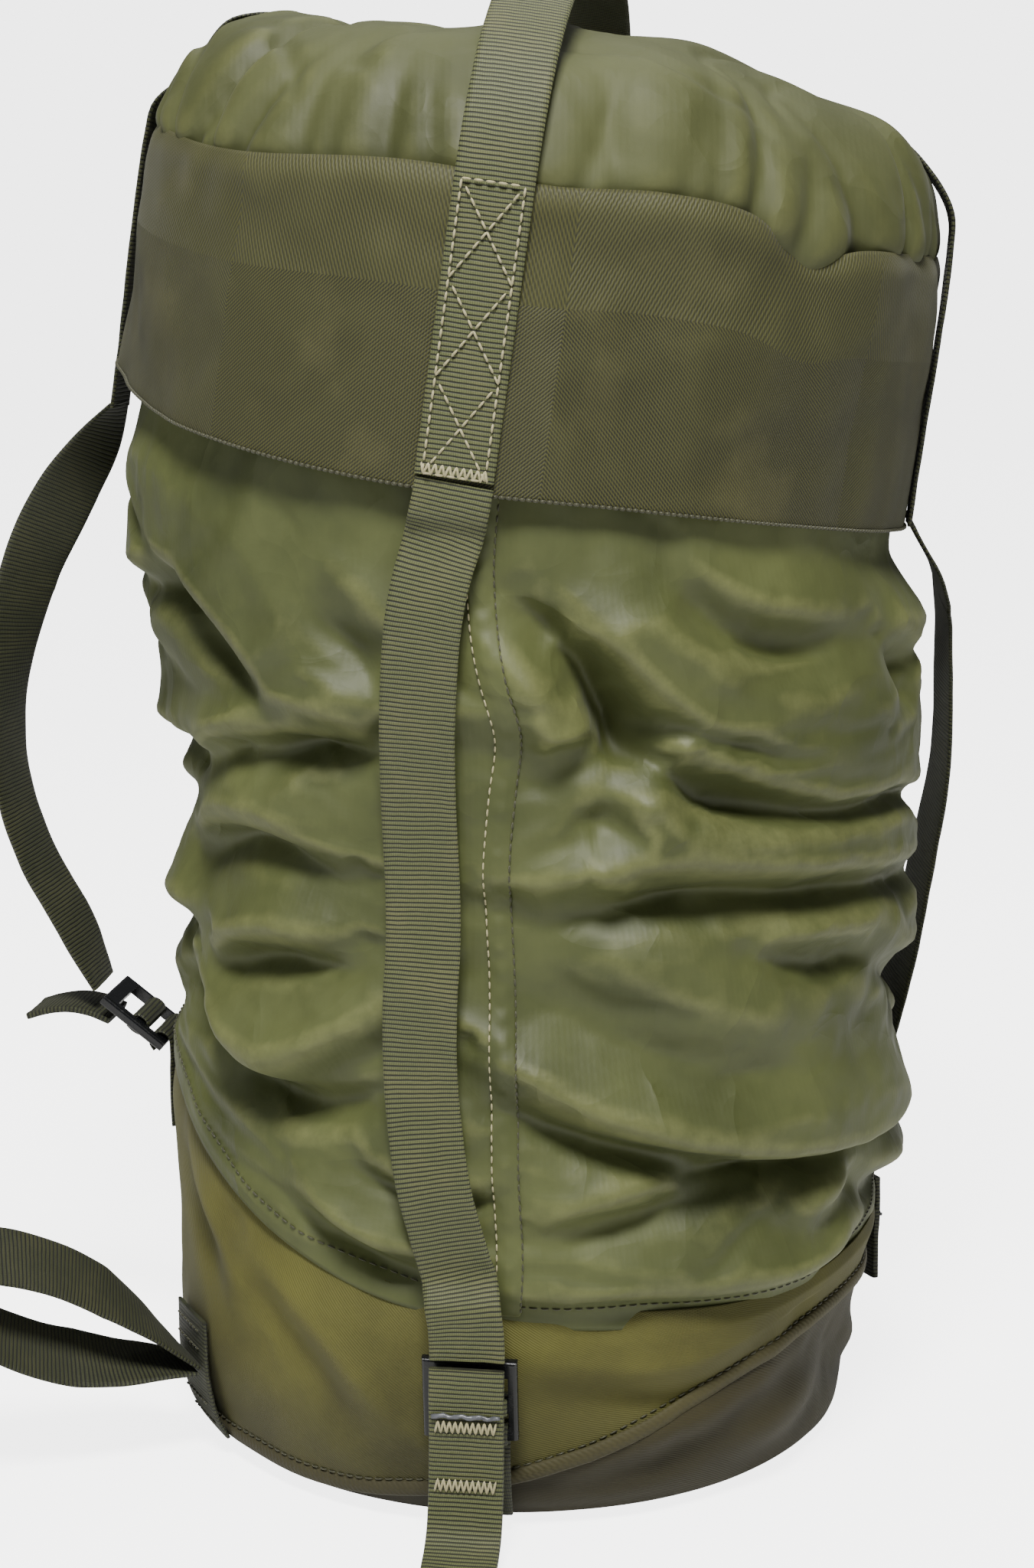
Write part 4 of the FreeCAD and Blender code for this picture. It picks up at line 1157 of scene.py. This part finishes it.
def make_runs(wall_tree):
    for side in SIDES:
        path = run_path(side, wall_tree)
        line = fine_line(path, 6 * MM)
        acrosses = [run_across(side, math.degrees(math.atan2(p[1], p[0])), p[2]) for p in line]
        cut = min(range(len(line)), key=lambda i: abs(line[i][2] - RUN_SPLIT))
        lower = [Vector(p) for p in line[cut:]]
        upper = [Vector(p) for p in line[:cut + 1]]
        upper.append(upper[-1].lerp(lower[1], 0.4))
        done = sum((b - a).length for a, b in zip(upper[:-1], upper[1:-1]))
        # the front strap faces the lights; the others get the darker webbing copy, which is painted shade
        tint = WEBBING if side == "front" else SHADED_WEBBING
        piece = strap(f"run_lower_{side}", lower, acrosses[cut:], tint, run=done)
        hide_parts(f"strap_run_{side}")
        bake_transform(piece)
        over = strap(f"run_upper_{side}", upper, acrosses[:cut + 1] + acrosses[cut:cut + 1], tint,
                     thick=STRAP_THICK * 0.985)
        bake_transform(over)


def arched_path(turn, knots):
    """Up one side of the leaning skirt, over the crown and down the other side."""
    rise = [leaned(polar(turn, r * MM, z * MM)) for r, z in knots]
    fall = [leaned(polar(turn + 180, r * MM, z * MM)) for r, z in reversed(knots[:-1])]
    return rise + fall


def lying_path(turn, knots, crown_tree):
    """Up one side of the skirt and down again. The places lying on the crown a little behind its middle
    are worked out but left out of the path.
    """
    tilt = Matrix.Rotation(CAP_LEAN, 3, "Y")
    axis, across = tilt @ Vector((0, 0, 1)), tilt @ sideways(turn)
    centres, heights = [], []
    for share in np.linspace(0.93, -0.93, 31):
        back = 24 * MM * (1 - share * share)
        centre = leaned(polar(turn, share * 0.145, 0.60) + sideways(turn) * back)
        # the flat webbing rests on the highest pleat under its whole width
        met = [crown_tree.ray_cast(centre + across * (offset * MM), -axis, 0.3)[0]
               for offset in (-13, -8, -3, 3, 8, 13)]
        met = [spot.dot(axis) for spot in met if spot is not None]
        if met:
            centres.append(centre)
            heights.append(max(met) + 1.6 * MM)
    heights = np.array(heights)
    for _ in range(4):
        heights[1:-1] = np.maximum(heights[1:-1], (heights[:-2] + heights[2:]) / 2)
    middle = [centre - axis * (centre.dot(axis) - height) for centre, height in zip(centres, heights)]
    rise = [leaned(polar(turn, r * MM, z * MM)) for r, z in knots]
    fall = [leaned(polar(turn + 180, r * MM, z * MM)) for r, z in reversed(knots[:-1])]
    return rise + fall


def lying_path(turn, knots, crown_tree):
    """Up one side of the skirt, then lying on the crown a little behind its middle, and down again."""
    tilt = Matrix.Rotation(CAP_LEAN, 3, "Y")
    middle = []
    for share in np.linspace(0.93, -0.93, 23):
        back = 24 * MM * (1 - share * share)
        above = leaned(polar(turn, share * 0.145, 0.60) - sideways(turn) * -back)
        spot, _, _, _ = crown_tree.ray_cast(above, tilt @ Vector((0, 0, -1)), 0.3)
        if spot is not None:
            middle.append(spot + tilt @ Vector((0, 0, 1.8 * MM)))
    rise = [leaned(polar(turn, r * MM, z * MM)) for r, z in knots]
    fall = [leaned(polar(turn + 180, r * MM, z * MM)) for r, z in reversed(knots)]
    return rise + middle + fall


OVER_FRONT_BACK = [(148.4, 366), (148.0, 385), (147.8, 405), (147.8, 425), (147.6, 445), (147.2, 462),
                   (143.6, 482), (132.0, 504), (108.0, 523), (72.0, 537), (36.0, 544), (0.0, 546)]
OVER_LEFT_RIGHT = [(148.8, 362), (148.4, 385), (148.4, 405), (148.4, 425), (148.2, 445), (147.4, 462),
                   (146.4, 472)]


def make_over_straps(crown_tree):
    lean_side = Matrix.Rotation(CAP_LEAN, 3, "Y")
    for name, turn, knots in (("front_back", -97.0, OVER_FRONT_BACK), ("left_right", -6.0, OVER_LEFT_RIGHT)):
        path = arched_path(turn, knots) if name == "front_back" else lying_path(turn, knots, crown_tree)
        side = lean_side @ sideways(turn)
        # the strap across the crown gets the darker webbing copy, which is painted shade
        piece = strap(f"over_strap_{name}_webbing", path, [side] * 4,
                      WEBBING if name == "front_back" else SHADED_WEBBING)
        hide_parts(f"over_strap_{name}")
        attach(piece, "cap")
    # the box stitch that holds the front strap to the skirt, with three crosses and a heavy bar-tack
    across = lean_side @ sideways(-97.0)
    along = lean_side @ Vector((0, 0, 1))
    out = (lean_side @ polar(-97.0, 1, 0)).normalized()

    def front_of(x, z):
        return leaned(polar(-97.0, 0.1495, z)) + across * x

    box_runs = []
    low, high, half = 0.3665, 0.4595, 10.2 * MM
    levels = [low + (high - low) * k / 3 for k in range(4)]
    corners = []
    for a, b in zip(levels, levels[1:]):
        corners += [((-half, a), (half, b)), ((half, a), (-half, b))]
    corners += [((-half, low), (-half, high)), ((half, low), (half, high)),
                ((-half, high), (half, high)), ((-half, low), (half, low))]
    for (x0, z0), (x1, z1) in corners:
        line = [front_of(x0 + (x1 - x0) * s, z0 + (z1 - z0) * s) for s in np.linspace(0, 1, 12)]
        box_runs += stitch_line(line, [out] * 12, 3.0 * MM, 0.9 * MM)
    box_runs += zigzag(front_of(0, low + 1.5 * MM), across, along, out, 22 * MM, 4 * MM, 1.1 * MM)
    thread("box_stitch_front", box_runs, 0.42 * MM, PALE_THREAD, "cap")


def buckle_frame(side):
    """Origin, across, up-the-face and outward directions of a buckle at its anchor bar."""
    azimuth = ANCHOR_AZIMUTH[side]
    radius, height = (142.5, 138.0) if side == "left" else (141.0, 42.0)
    lean = math.radians(52 if side == "left" else 8)
    out = polar(azimuth, 1, 0)
    up = Vector((0, 0, 1)) * math.cos(lean) + out * math.sin(lean)
    face = out * math.cos(lean) - Vector((0, 0, 1)) * math.sin(lean)
    return polar(azimuth, radius * MM, height * MM), sideways(azimuth), up, face


ANCHOR_LOW = [(130.4, 7.0), (134.2, 16.0), (136.6, 26.0), (137.2, 34.0), (137.0, 40.0), (138.0, 44.4),
              (141.0, 45.9), (144.0, 44.2), (145.0, 41.4), (143.6, 38.6)]
ANCHOR_HIGH = [(138.0, 104.0), (138.4, 114.0), (138.4, 126.0), (138.2, 134.0), (139.4, 140.4),
               (142.5, 142.0), (145.6, 140.4), (146.6, 137.5), (145.0, 134.6)]
HAND_TAILS = {
    "front": [(151.9, 68.5), (152.4, 62.0), (152.4, 48.0), (152.6, 35.0), (154.5, 22.0), (160.0, 10.6),
              (171.0, 4.4), (190.0, 2.6), (214.0, 2.4)],
    "right": [(151.8, 68.0), (152.0, 50.0), (151.6, 38.0), (151.8, 25.0)],
    "back": [(151.8, 68.0), (152.2, 48.0), (153.0, 33.0), (156.0, 19.0), (162.0, 9.4), (173.0, 4.2),
             (192.0, 2.6)],
    "left": [(163.0, 145.5), (170.0, 148.2), (179.0, 149.6), (188.0, 148.6), (196.0, 146.0)],
}


def make_anchors_and_tails():
    for side in SIDES:
        azimuth = ANCHOR_AZIMUTH[side]
        across = sideways(azimuth)
        knots = ANCHOR_HIGH if side == "left" else ANCHOR_LOW
        path = [polar(azimuth, r * MM, z * MM) for r, z in knots]
        tint = WEBBING if side == "front" else SHADED_WEBBING
        # the anchors all get the darker webbing copy, which is painted shade
        anchor = strap(f"anchor_{side}", path, [across] * 4, SHADED_WEBBING, step=1.4 * MM, curl=0.2 * MM)
        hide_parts(f"anchor_webbing_{side}")
        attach(anchor, "base")
        tail_path = [polar(azimuth, r * MM, z * MM) for r, z in HAND_TAILS[side]]
        tail = strap(f"tail_{side}_webbing", tail_path, [across] * 4, tint, thick=2.7 * MM,
                     step=1.5 * MM, curl=0.3 * MM)
        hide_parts(f"pull_tail_{side}")
        blend_tail(tail)
        trim_tail(side, tail_path, across)
        # the crossed stitches that hold the anchor webbing down
        origin, _, _, _ = buckle_frame(side)
        cross = []
        if side != "left":
            foot, head = 0.012, 0.031
            for sign in (-1, 1):
                line = []
                for s in np.linspace(0, 1, 8):
                    z = foot + (head - foot) * s
                    r = eased_through([(7, 130.4), (16, 134.2), (26, 136.6), (34, 137.2)], [z / MM])[0] * MM
                    line.append(polar(azimuth, r + 1.25 * MM, z) + across * sign * (2 * s - 1) * 9 * MM)
                cross += stitch_line(line, [polar(azimuth, 1, 0.2).normalized()] * 8, 2.6 * MM, 0.8 * MM)
            thread(f"anchor_stitch_{side}", cross, 0.4 * MM, DARK_THREAD, "base")


def blend_tail(piece):
    """Bakes the piece's place into its mesh."""
    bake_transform(piece)


def trim_tail(side, path, across):
    """The turned-over end on the tail, its seared edge and its two bar-tacks."""
    if side == "left":
        return
    line = [Vector(p) for p in fine_line(path, 1.0 * MM)]

    def frame_at(distance):
        spot = min(int(distance / (1.0 * MM)), len(line) - 2)
        ahead = (line[spot + 1] - line[spot]).normalized()
        out = across.cross(ahead).normalized()
        if out.dot(polar(ANCHOR_AZIMUTH[side], 1, 0.6)) < 0:
            out = -out
        return line[spot], ahead, out

    seared_at, first_tack, second_tack = 16.5 * MM, 20.5 * MM, 41 * MM
    place, ahead, out = frame_at(seared_at)
    bar = [place + across * x * MM + out * (2.15 + 0.2 * math.sin(x * 1.9)) * MM
           + ahead * 0.3 * MM * math.sin(x)
           for x in np.linspace(-11.8, 11.8, 24)]
    edge = bead_row(f"seared_edge_{side}", bar, 0.85 * MM)
    blend_tail(edge)
    tacks = []
    for where in (first_tack, second_tack):
        if where < len(line) * MM - 4 * MM:
            place, ahead, out = frame_at(where)
            tacks += zigzag(place + out * 2.0 * MM, across, ahead, out, 21 * MM, 4.6 * MM, 1.0 * MM)
    thread(f"bar_tacks_{side}", tacks, 0.42 * MM, PALE_THREAD,
           ("base", f"tail_{side}", tuple(path[0]), tuple(path[-1])))


def bead_row(name, places, radius, material=SEARED, lumps=0.35, upright=Vector((0, 0, 1))):
    """A round bead along places, lumpy where it is a melted edge."""
    verts = []
    sides = 8
    for i, place in enumerate(places):
        ahead = (places[min(i + 1, len(places) - 1)] - places[max(i - 1, 0)]).normalized()
        side = ahead.cross(upright).normalized()
        up = side.cross(ahead)
        size = radius * (1 - 0.5 * lumps + lumps * random.random())
        for k in range(sides):
            a = 2 * math.pi * k / sides
            verts.append(place + (side * math.cos(a) + up * math.sin(a)) * size)
    made = new_object(name, verts, tube_faces(0, len(places), sides), None, material)
    fix_outward(made)
    return made


# ---------------------------------------------------------------- haul loop, turns, hardware

HAUL_TURN = 205.0


def make_haul_loop():
    """Doubled webbing held out like an ear, its two ends sewn under a patch on the base."""
    root, reach, rise, gap = (139.3, 34.0), 92.0, 50.0, 30.0
    lift = math.atan2(rise, reach)
    out = math.hypot(reach, rise)
    across = sideways(HAUL_TURN)

    def at(distance, off):
        return polar(HAUL_TURN, (root[0] + distance * math.cos(lift) - off * math.sin(lift)) * MM,
                     (root[1] + distance * math.sin(lift) + off * math.cos(lift)) * MM)
    knots = [(0.4, -0.9), (0.1 * out, -0.13 * gap), (0.28 * out, -0.34 * gap), (0.55 * out, -0.5 * gap),
             (0.82 * out, -0.42 * gap), (0.97 * out, -0.18 * gap), (out, 0.05 * gap), (0.95 * out, 0.26 * gap),
             (0.8 * out, 0.42 * gap), (0.55 * out, 0.48 * gap), (0.28 * out, 0.33 * gap),
             (0.1 * out, 0.14 * gap), (0.4, 0.9)]
    # the loop twists as it hangs out, so that its face turns to the front
    twisted = (across + Vector((0, 0, -0.75))).normalized()
    loop = strap("haul_webbing", [at(d, o) for d, o in knots],
                 [across, twisted, twisted, twisted, twisted, across], SHADED_WEBBING, curl=0.3 * MM)
    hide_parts("haul_loop")
    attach(loop, "haul_loop")
    knots = [(129.4, 7.4), (133.6, 16.0), (136.0, 26.0), (137.4, 36.0), (137.6, 53.5)]
    patch = strap("haul_patch", [polar(HAUL_TURN, r * MM, z * MM) for r, z in knots], [across] * 4,
                  SHADED_WEBBING, width=31 * MM, curl=0.3 * MM)
    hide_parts("haul_loop_patch")
    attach(patch, "base")
    runs = []
    for z in (0.012, 0.020, 0.042, 0.049):
        r = eased_through(knots_by_height(knots), [z / MM])[0] * MM + 1.3 * MM
        line = [polar(HAUL_TURN, r, z) + across * x * MM for x in np.linspace(-13, 13, 8)]
        runs += stitch_line(line, [polar(HAUL_TURN, 1, 0.2).normalized()] * 8, 2.6 * MM, 0.8 * MM)
    thread("haul_stitches", runs, 0.4 * MM, DARK_THREAD, "base")


def knots_by_height(knots):
    return [(z, r) for r, z in knots]


def make_turns():
    """The strap's turn round the middle bar of each buckle."""
    middle, deep, back = 11.0 * MM, 3.3 * MM, 3.3 * MM
    for side in SIDES:
        origin, across, up, face = buckle_frame(side)
        knots = [(-0.4, middle + deep), (-back * 0.75, middle + deep * 0.8), (-back, middle),
                 (-back * 0.75, middle - deep * 0.85), (0.0, middle - deep), (back * 0.75, middle - deep * 0.85),
                 (back, middle), (back * 0.9, middle + deep)]
        knots[0] = (-0.4 * MM, middle + deep)
        path = [origin + face * f + up * u for f, u in knots]
        turn = strap(f"turn_{side}", path, [across] * 4, WEBBING if side == "front" else SHADED_WEBBING,
                     step=0.9 * MM, curl=0.0, thick=1.4 * MM)
        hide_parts(f"webbing_turn_{side}")
        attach(turn, f"buckle_{side}")


def make_spring():
    """The cord lock's coil, built at one length (the real coil shortens as the plunger is pressed)."""
    low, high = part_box("cord_lock_spring")
    wire, middle = 0.35 * MM, (low + high) / 2
    reach, length, turns = (high.z - low.z) / 2 - wire, high.x - low.x, 5
    places = []
    for share in np.linspace(0, 1, turns * 24 + 1):
        angle = 2 * math.pi * turns * share
        places.append(Vector((low.x + wire + share * (length - 2 * wire),
                              middle.y + reach * math.cos(angle), middle.z + reach * math.sin(angle))))
    coil = bead_row("lock_coil", places, wire, SPRING_WIRE, 0.0, Vector((1, 0, 0)))
    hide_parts("cord_lock_spring")
    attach(coil, "upper")
    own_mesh(coil)


def paint(node, material):
    piece = bpy.data.objects[node]
    piece.data.materials.clear()
    piece.data.materials.append(material)
    for polygon in piece.data.polygons:
        polygon.use_smooth = True
    if hasattr(piece.data, "set_sharp_from_angle"):
        piece.data.set_sharp_from_angle(angle=math.radians(32))


def paint_hardware():
    for side in SIDES:
        paint(f"ladder_lock_{side}", BUCKLE_ACETAL)
    paint("cord_lock_barrel", LOCK_ACETAL)
    paint("cord_lock_plunger", LOCK_ACETAL)
    paint("drawcord", CORD)


# ---------------------------------------------------------------- shoulder and mouth

def make_shoulder():
    """The top of the sack, gathered in to the drawn mouth, and the hem that holds the cord."""
    columns, rows = 300, 24
    turns = np.linspace(-180, 180, columns, endpoint=False)
    profile = [(0, 133.0, 424.0), (0.12, 132.0, 432.0), (0.3, 120.0, 443.0), (0.55, 96.0, 450.5),
               (0.8, 75.0, 455.0), (1.0, 64.5, 458.5)]
    shares = np.linspace(0, 1, rows)
    reach = eased_through([(s, r) for s, r, _ in profile], shares)
    rise = eased_through([(s, z) for s, _, z in profile], shares)
    grid = np.tile(turns, (rows, 1))
    share = np.tile(shares[:, None], (1, columns))
    radius = np.tile(reach[:, None], (1, columns)) * MM
    heights = np.tile(rise[:, None], (1, columns)) * MM
    wave = np.zeros_like(radius)
    for count, height, phase in ((38, 1.5, 0.3), (23, 1.1, 1.7), (51, 0.6, 0.9)):
        wave += height * MM * np.sin(np.radians(grid) * count + phase)
    heights = heights + wave * np.clip(share / 0.35, 0, 1) * np.clip((1 - share) / 0.06, 0, 1)
    places = np.stack([radius * np.cos(np.radians(grid)), radius * np.sin(np.radians(grid)), heights], 2)
    shoulder = cloth_grid("shoulder_cloth", places, 2 * math.pi * 0.1, 0.08, BODY_NYLON)
    smoothed(shoulder)
    mark_crests(shoulder)
    thickened(shoulder, 0.6 * MM)
    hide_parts("sack_shoulder")
    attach(shoulder, "upper")
    # the hem: a soft ring of cloth round the cord, rucked up where the cord draws it
    ring_turns = np.linspace(0, 360, 220, endpoint=False)
    sides = 14
    verts, faces, uvs = [], [], []
    for i, t in enumerate(ring_turns):
        ruck = 1 + 0.10 * math.sin(math.radians(t) * 38) + 0.06 * math.sin(math.radians(t) * 23 + 1)
        for k in range(sides):
            a = 2 * math.pi * k / sides
            size = 4.7 * MM * ruck
            verts.append(polar(t, 67 * MM + size * math.cos(a), 464.5 * MM + size * math.sin(a)))
    for i in range(len(ring_turns)):
        n = (i + 1) % len(ring_turns)
        for k in range(sides):
            m = (k + 1) % sides
            faces.append((i * sides + k, n * sides + k, n * sides + m, i * sides + m))
            u0, u1 = i * 1.9 * MM, (i + 1) * 1.9 * MM
            v0, v1 = k * 2.2 * MM, (k + 1) * 2.2 * MM
            uvs += [(u0, v0), (u1, v0), (u1, v1), (u0, v1)]
    hem = new_object("mouth_hem", verts, faces, uvs, BODY_NYLON)
    fix_outward(hem)
    mark_crests(hem)
    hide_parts("mouth_channel")
    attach(hem, "upper")


# ---------------------------------------------------------------- seams and stitching on the cloth

SEAM_LEFT = [(372, -97), (330, -98), (302, -96.2), (284, -94.4), (265, -95.2), (241, -96), (201, -95.4),
             (160, -95), (133, -94.8), (99, -94.2), (84, -94.5)]


def wall_blend_owner():
    return ("base", "upper") + WALL_BLEND


def make_felled_seam(wall_tree):
    """The body's felled seam: a doubled strip of the same cloth with a row of stitches down each side."""
    heights = np.linspace(0.364, 0.082, 130)
    rows = []
    for z in heights:
        left = eased_through(sorted(SEAM_LEFT), [z / MM])[0]
        row = []
        pucker = 0.9 * math.sin(z / MM / 7.5 * 2 * math.pi + 1.5 * math.sin(z / MM / 23))
        for k, lift in enumerate((0.1, 0.45, 0.8 + pucker, 0.9 + pucker, 0.8 + pucker, 0.45, 0.1)):
            turn = left + (-0.25 + k * 3.6 / 6)
            spot, _ = on_surface(wall_tree, turn, z, lift * MM)
            row.append(spot)
        rows.append(row)
    # even the strip out, so that it doesn't jump where the cloth under it folds sharply
    grid = np.array([[list(p) for p in row] for row in rows])
    for _ in range(1):
        grid[1:-1] = grid[:-2] * 0.25 + grid[1:-1] * 0.5 + grid[2:] * 0.25
    strip = cloth_grid("felled_seam", grid, 8.6 * MM, 0.28, BODY_NYLON, closed=False)
    smoothed(strip)
    thickened(strip, 0.5 * MM)
    mark_crests(strip)
    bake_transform(strip)
    for name, column, tint in (("seam_thread_left", 0, PALE_THREAD), ("seam_thread_right", 6, DARK_THREAD)):
        line = [Vector(p) for p in grid[:, column]]
        outs = [Vector((p.x, p.y, 0)).normalized() for p in line]
        lifted = [p + o * 0.45 * MM for p, o in zip(line, outs)]
        runs = stitch_line(lifted, outs, 2.7 * MM, 0.9 * MM)
        thread(name, runs, 0.33 * MM, tint, wall_blend_owner())


def round_stitches(name, tree, height_of, lift, tint, owner, turns=None, length=2.9, gap=1.1, cap=False,
                   size=0.32):
    """A row of stitches round the sack, clinging to a cloth."""
    places, outs = [], []
    for t in (turns if turns is not None else np.arange(-180, 180, 0.9)):
        height = height_of(t)
        if cap:
            upright = polar(t, 0.4, height)
            start = leaned(upright)
            towards = (leaned(polar(t, 0.0, height)) - start).normalized()
            spot, normal, _, _ = tree.ray_cast(start, towards, 0.6)
            if spot is None:
                continue
            out = -towards
            places.append(spot + out * lift)
            outs.append(out)
        else:
            spot, normal = on_surface(tree, t, height, lift)
            places.append(spot)
            outs.append(normal)
    runs = stitch_line(places, outs, length * MM, gap * MM)
    return thread(name, runs, size * MM, tint, owner)


def make_round_stitches(wall_tree, base_tree, skirt_tree):
    def hem(t):
        return (eased_through(HEM, [t], 360)[0] + 5) * MM

    def low(t):
        return SKIRT_LOW + (eased_through(SKIRT_LOW_EDGE, [t], 360)[0] + 0.5) * MM

    def seam(t):
        return max(eased_through(PANEL_SEAM, [t], 360)[0] + 5.5, 9.5) * MM

    round_stitches("hem_stitches", wall_tree, hem, 0.3 * MM, DARK_THREAD, wall_blend_owner())
    # the band's woven edge shows as a dark beaded line
    round_stitches("skirt_selvedge", skirt_tree, low, 0.1 * MM, DARK_THREAD, "cap", cap=True,
                   length=1.9, gap=0.3, size=0.62)
    round_stitches("panel_stitches", base_tree, seam, 0.3 * MM, DARK_THREAD, "base")


# ---------------------------------------------------------------- build

wall_tree = make_wall()
base_tree = make_base()
skirt_tree = make_skirt()
crown_tree = make_crown()
make_over_straps(crown_tree)
make_runs(wall_tree)
make_anchors_and_tails()
make_turns()
make_spring()
make_haul_loop()
make_shoulder()
make_felled_seam(wall_tree)
make_round_stitches(wall_tree, base_tree, skirt_tree)
paint_hardware()


# ---------------------------------------------------------------- floor, lights, camera

def make_floor():
    bpy.ops.mesh.primitive_plane_add(size=8, location=(0, 1, -0.0003))
    floor = bpy.context.object
    floor.name = "backdrop"
    floor.data.materials.append(PAPER)


def make_light(name, place, target, size, power, tint=(1, 1, 1)):
    data = bpy.data.lights.new(name, "AREA")
    data.shape = "RECTANGLE"
    data.size, data.size_y = size
    data.energy = power
    data.color = tint
    light = bpy.data.objects.new(name, data)
    light.location = place
    light.rotation_euler = (Vector(target) - Vector(place)).to_track_quat("-Z", "Y").to_euler()
    bpy.context.scene.collection.objects.link(light)


make_floor()
make_light("overhead_softbox", (-0.08, -1.04, 1.74), (0, 0, 0.26), (0.5, 0.42), 53, (1.0, 0.99, 0.96))
make_light("back_overhead", (0.2, 0.7, 1.9), (0, 0, 0.3), (1.6, 0.8), 12, (1.0, 1.0, 0.99))
make_light("left_window", (-1.7, -0.9, 0.9), (0, 0, 0.25), (0.8, 1.2), 5, (0.97, 0.99, 1.0))
make_light("right_fill", (1.6, -1.3, 0.8), (0, 0, 0.25), (0.8, 1.0), 3, (1.0, 0.98, 0.95))

world = bpy.data.worlds.new("studio")
world.use_nodes = True
sky = world.node_tree
sky.nodes.clear()
seen = add(sky, "ShaderNodeBackground", None, {"Color": linear("#FFFFFF"), "Strength": 4.0})
lighting = add(sky, "ShaderNodeBackground", None, {"Color": linear("#F2F3F4"), "Strength": 0.09})
straight = add(sky, "ShaderNodeLightPath").outputs["Is Camera Ray"]
either = add(sky, "ShaderNodeMixShader", None, {0: straight, 1: lighting.outputs[0], 2: seen.outputs[0]})
add(sky, "ShaderNodeOutputWorld", None, {"Surface": either.outputs[0]})
bpy.context.scene.world = world

camera_data = bpy.data.cameras.new("camera")
camera_data.lens = 64.0
camera_data.sensor_fit = "VERTICAL"
camera_data.sensor_height = 36.0
camera = bpy.data.objects.new("camera", camera_data)
camera.location = (-0.004, -1.04, 0.44)
camera.rotation_euler = (math.radians(90 - 10.8), 0, 0)
bpy.context.scene.collection.objects.link(camera)
bpy.context.scene.camera = camera
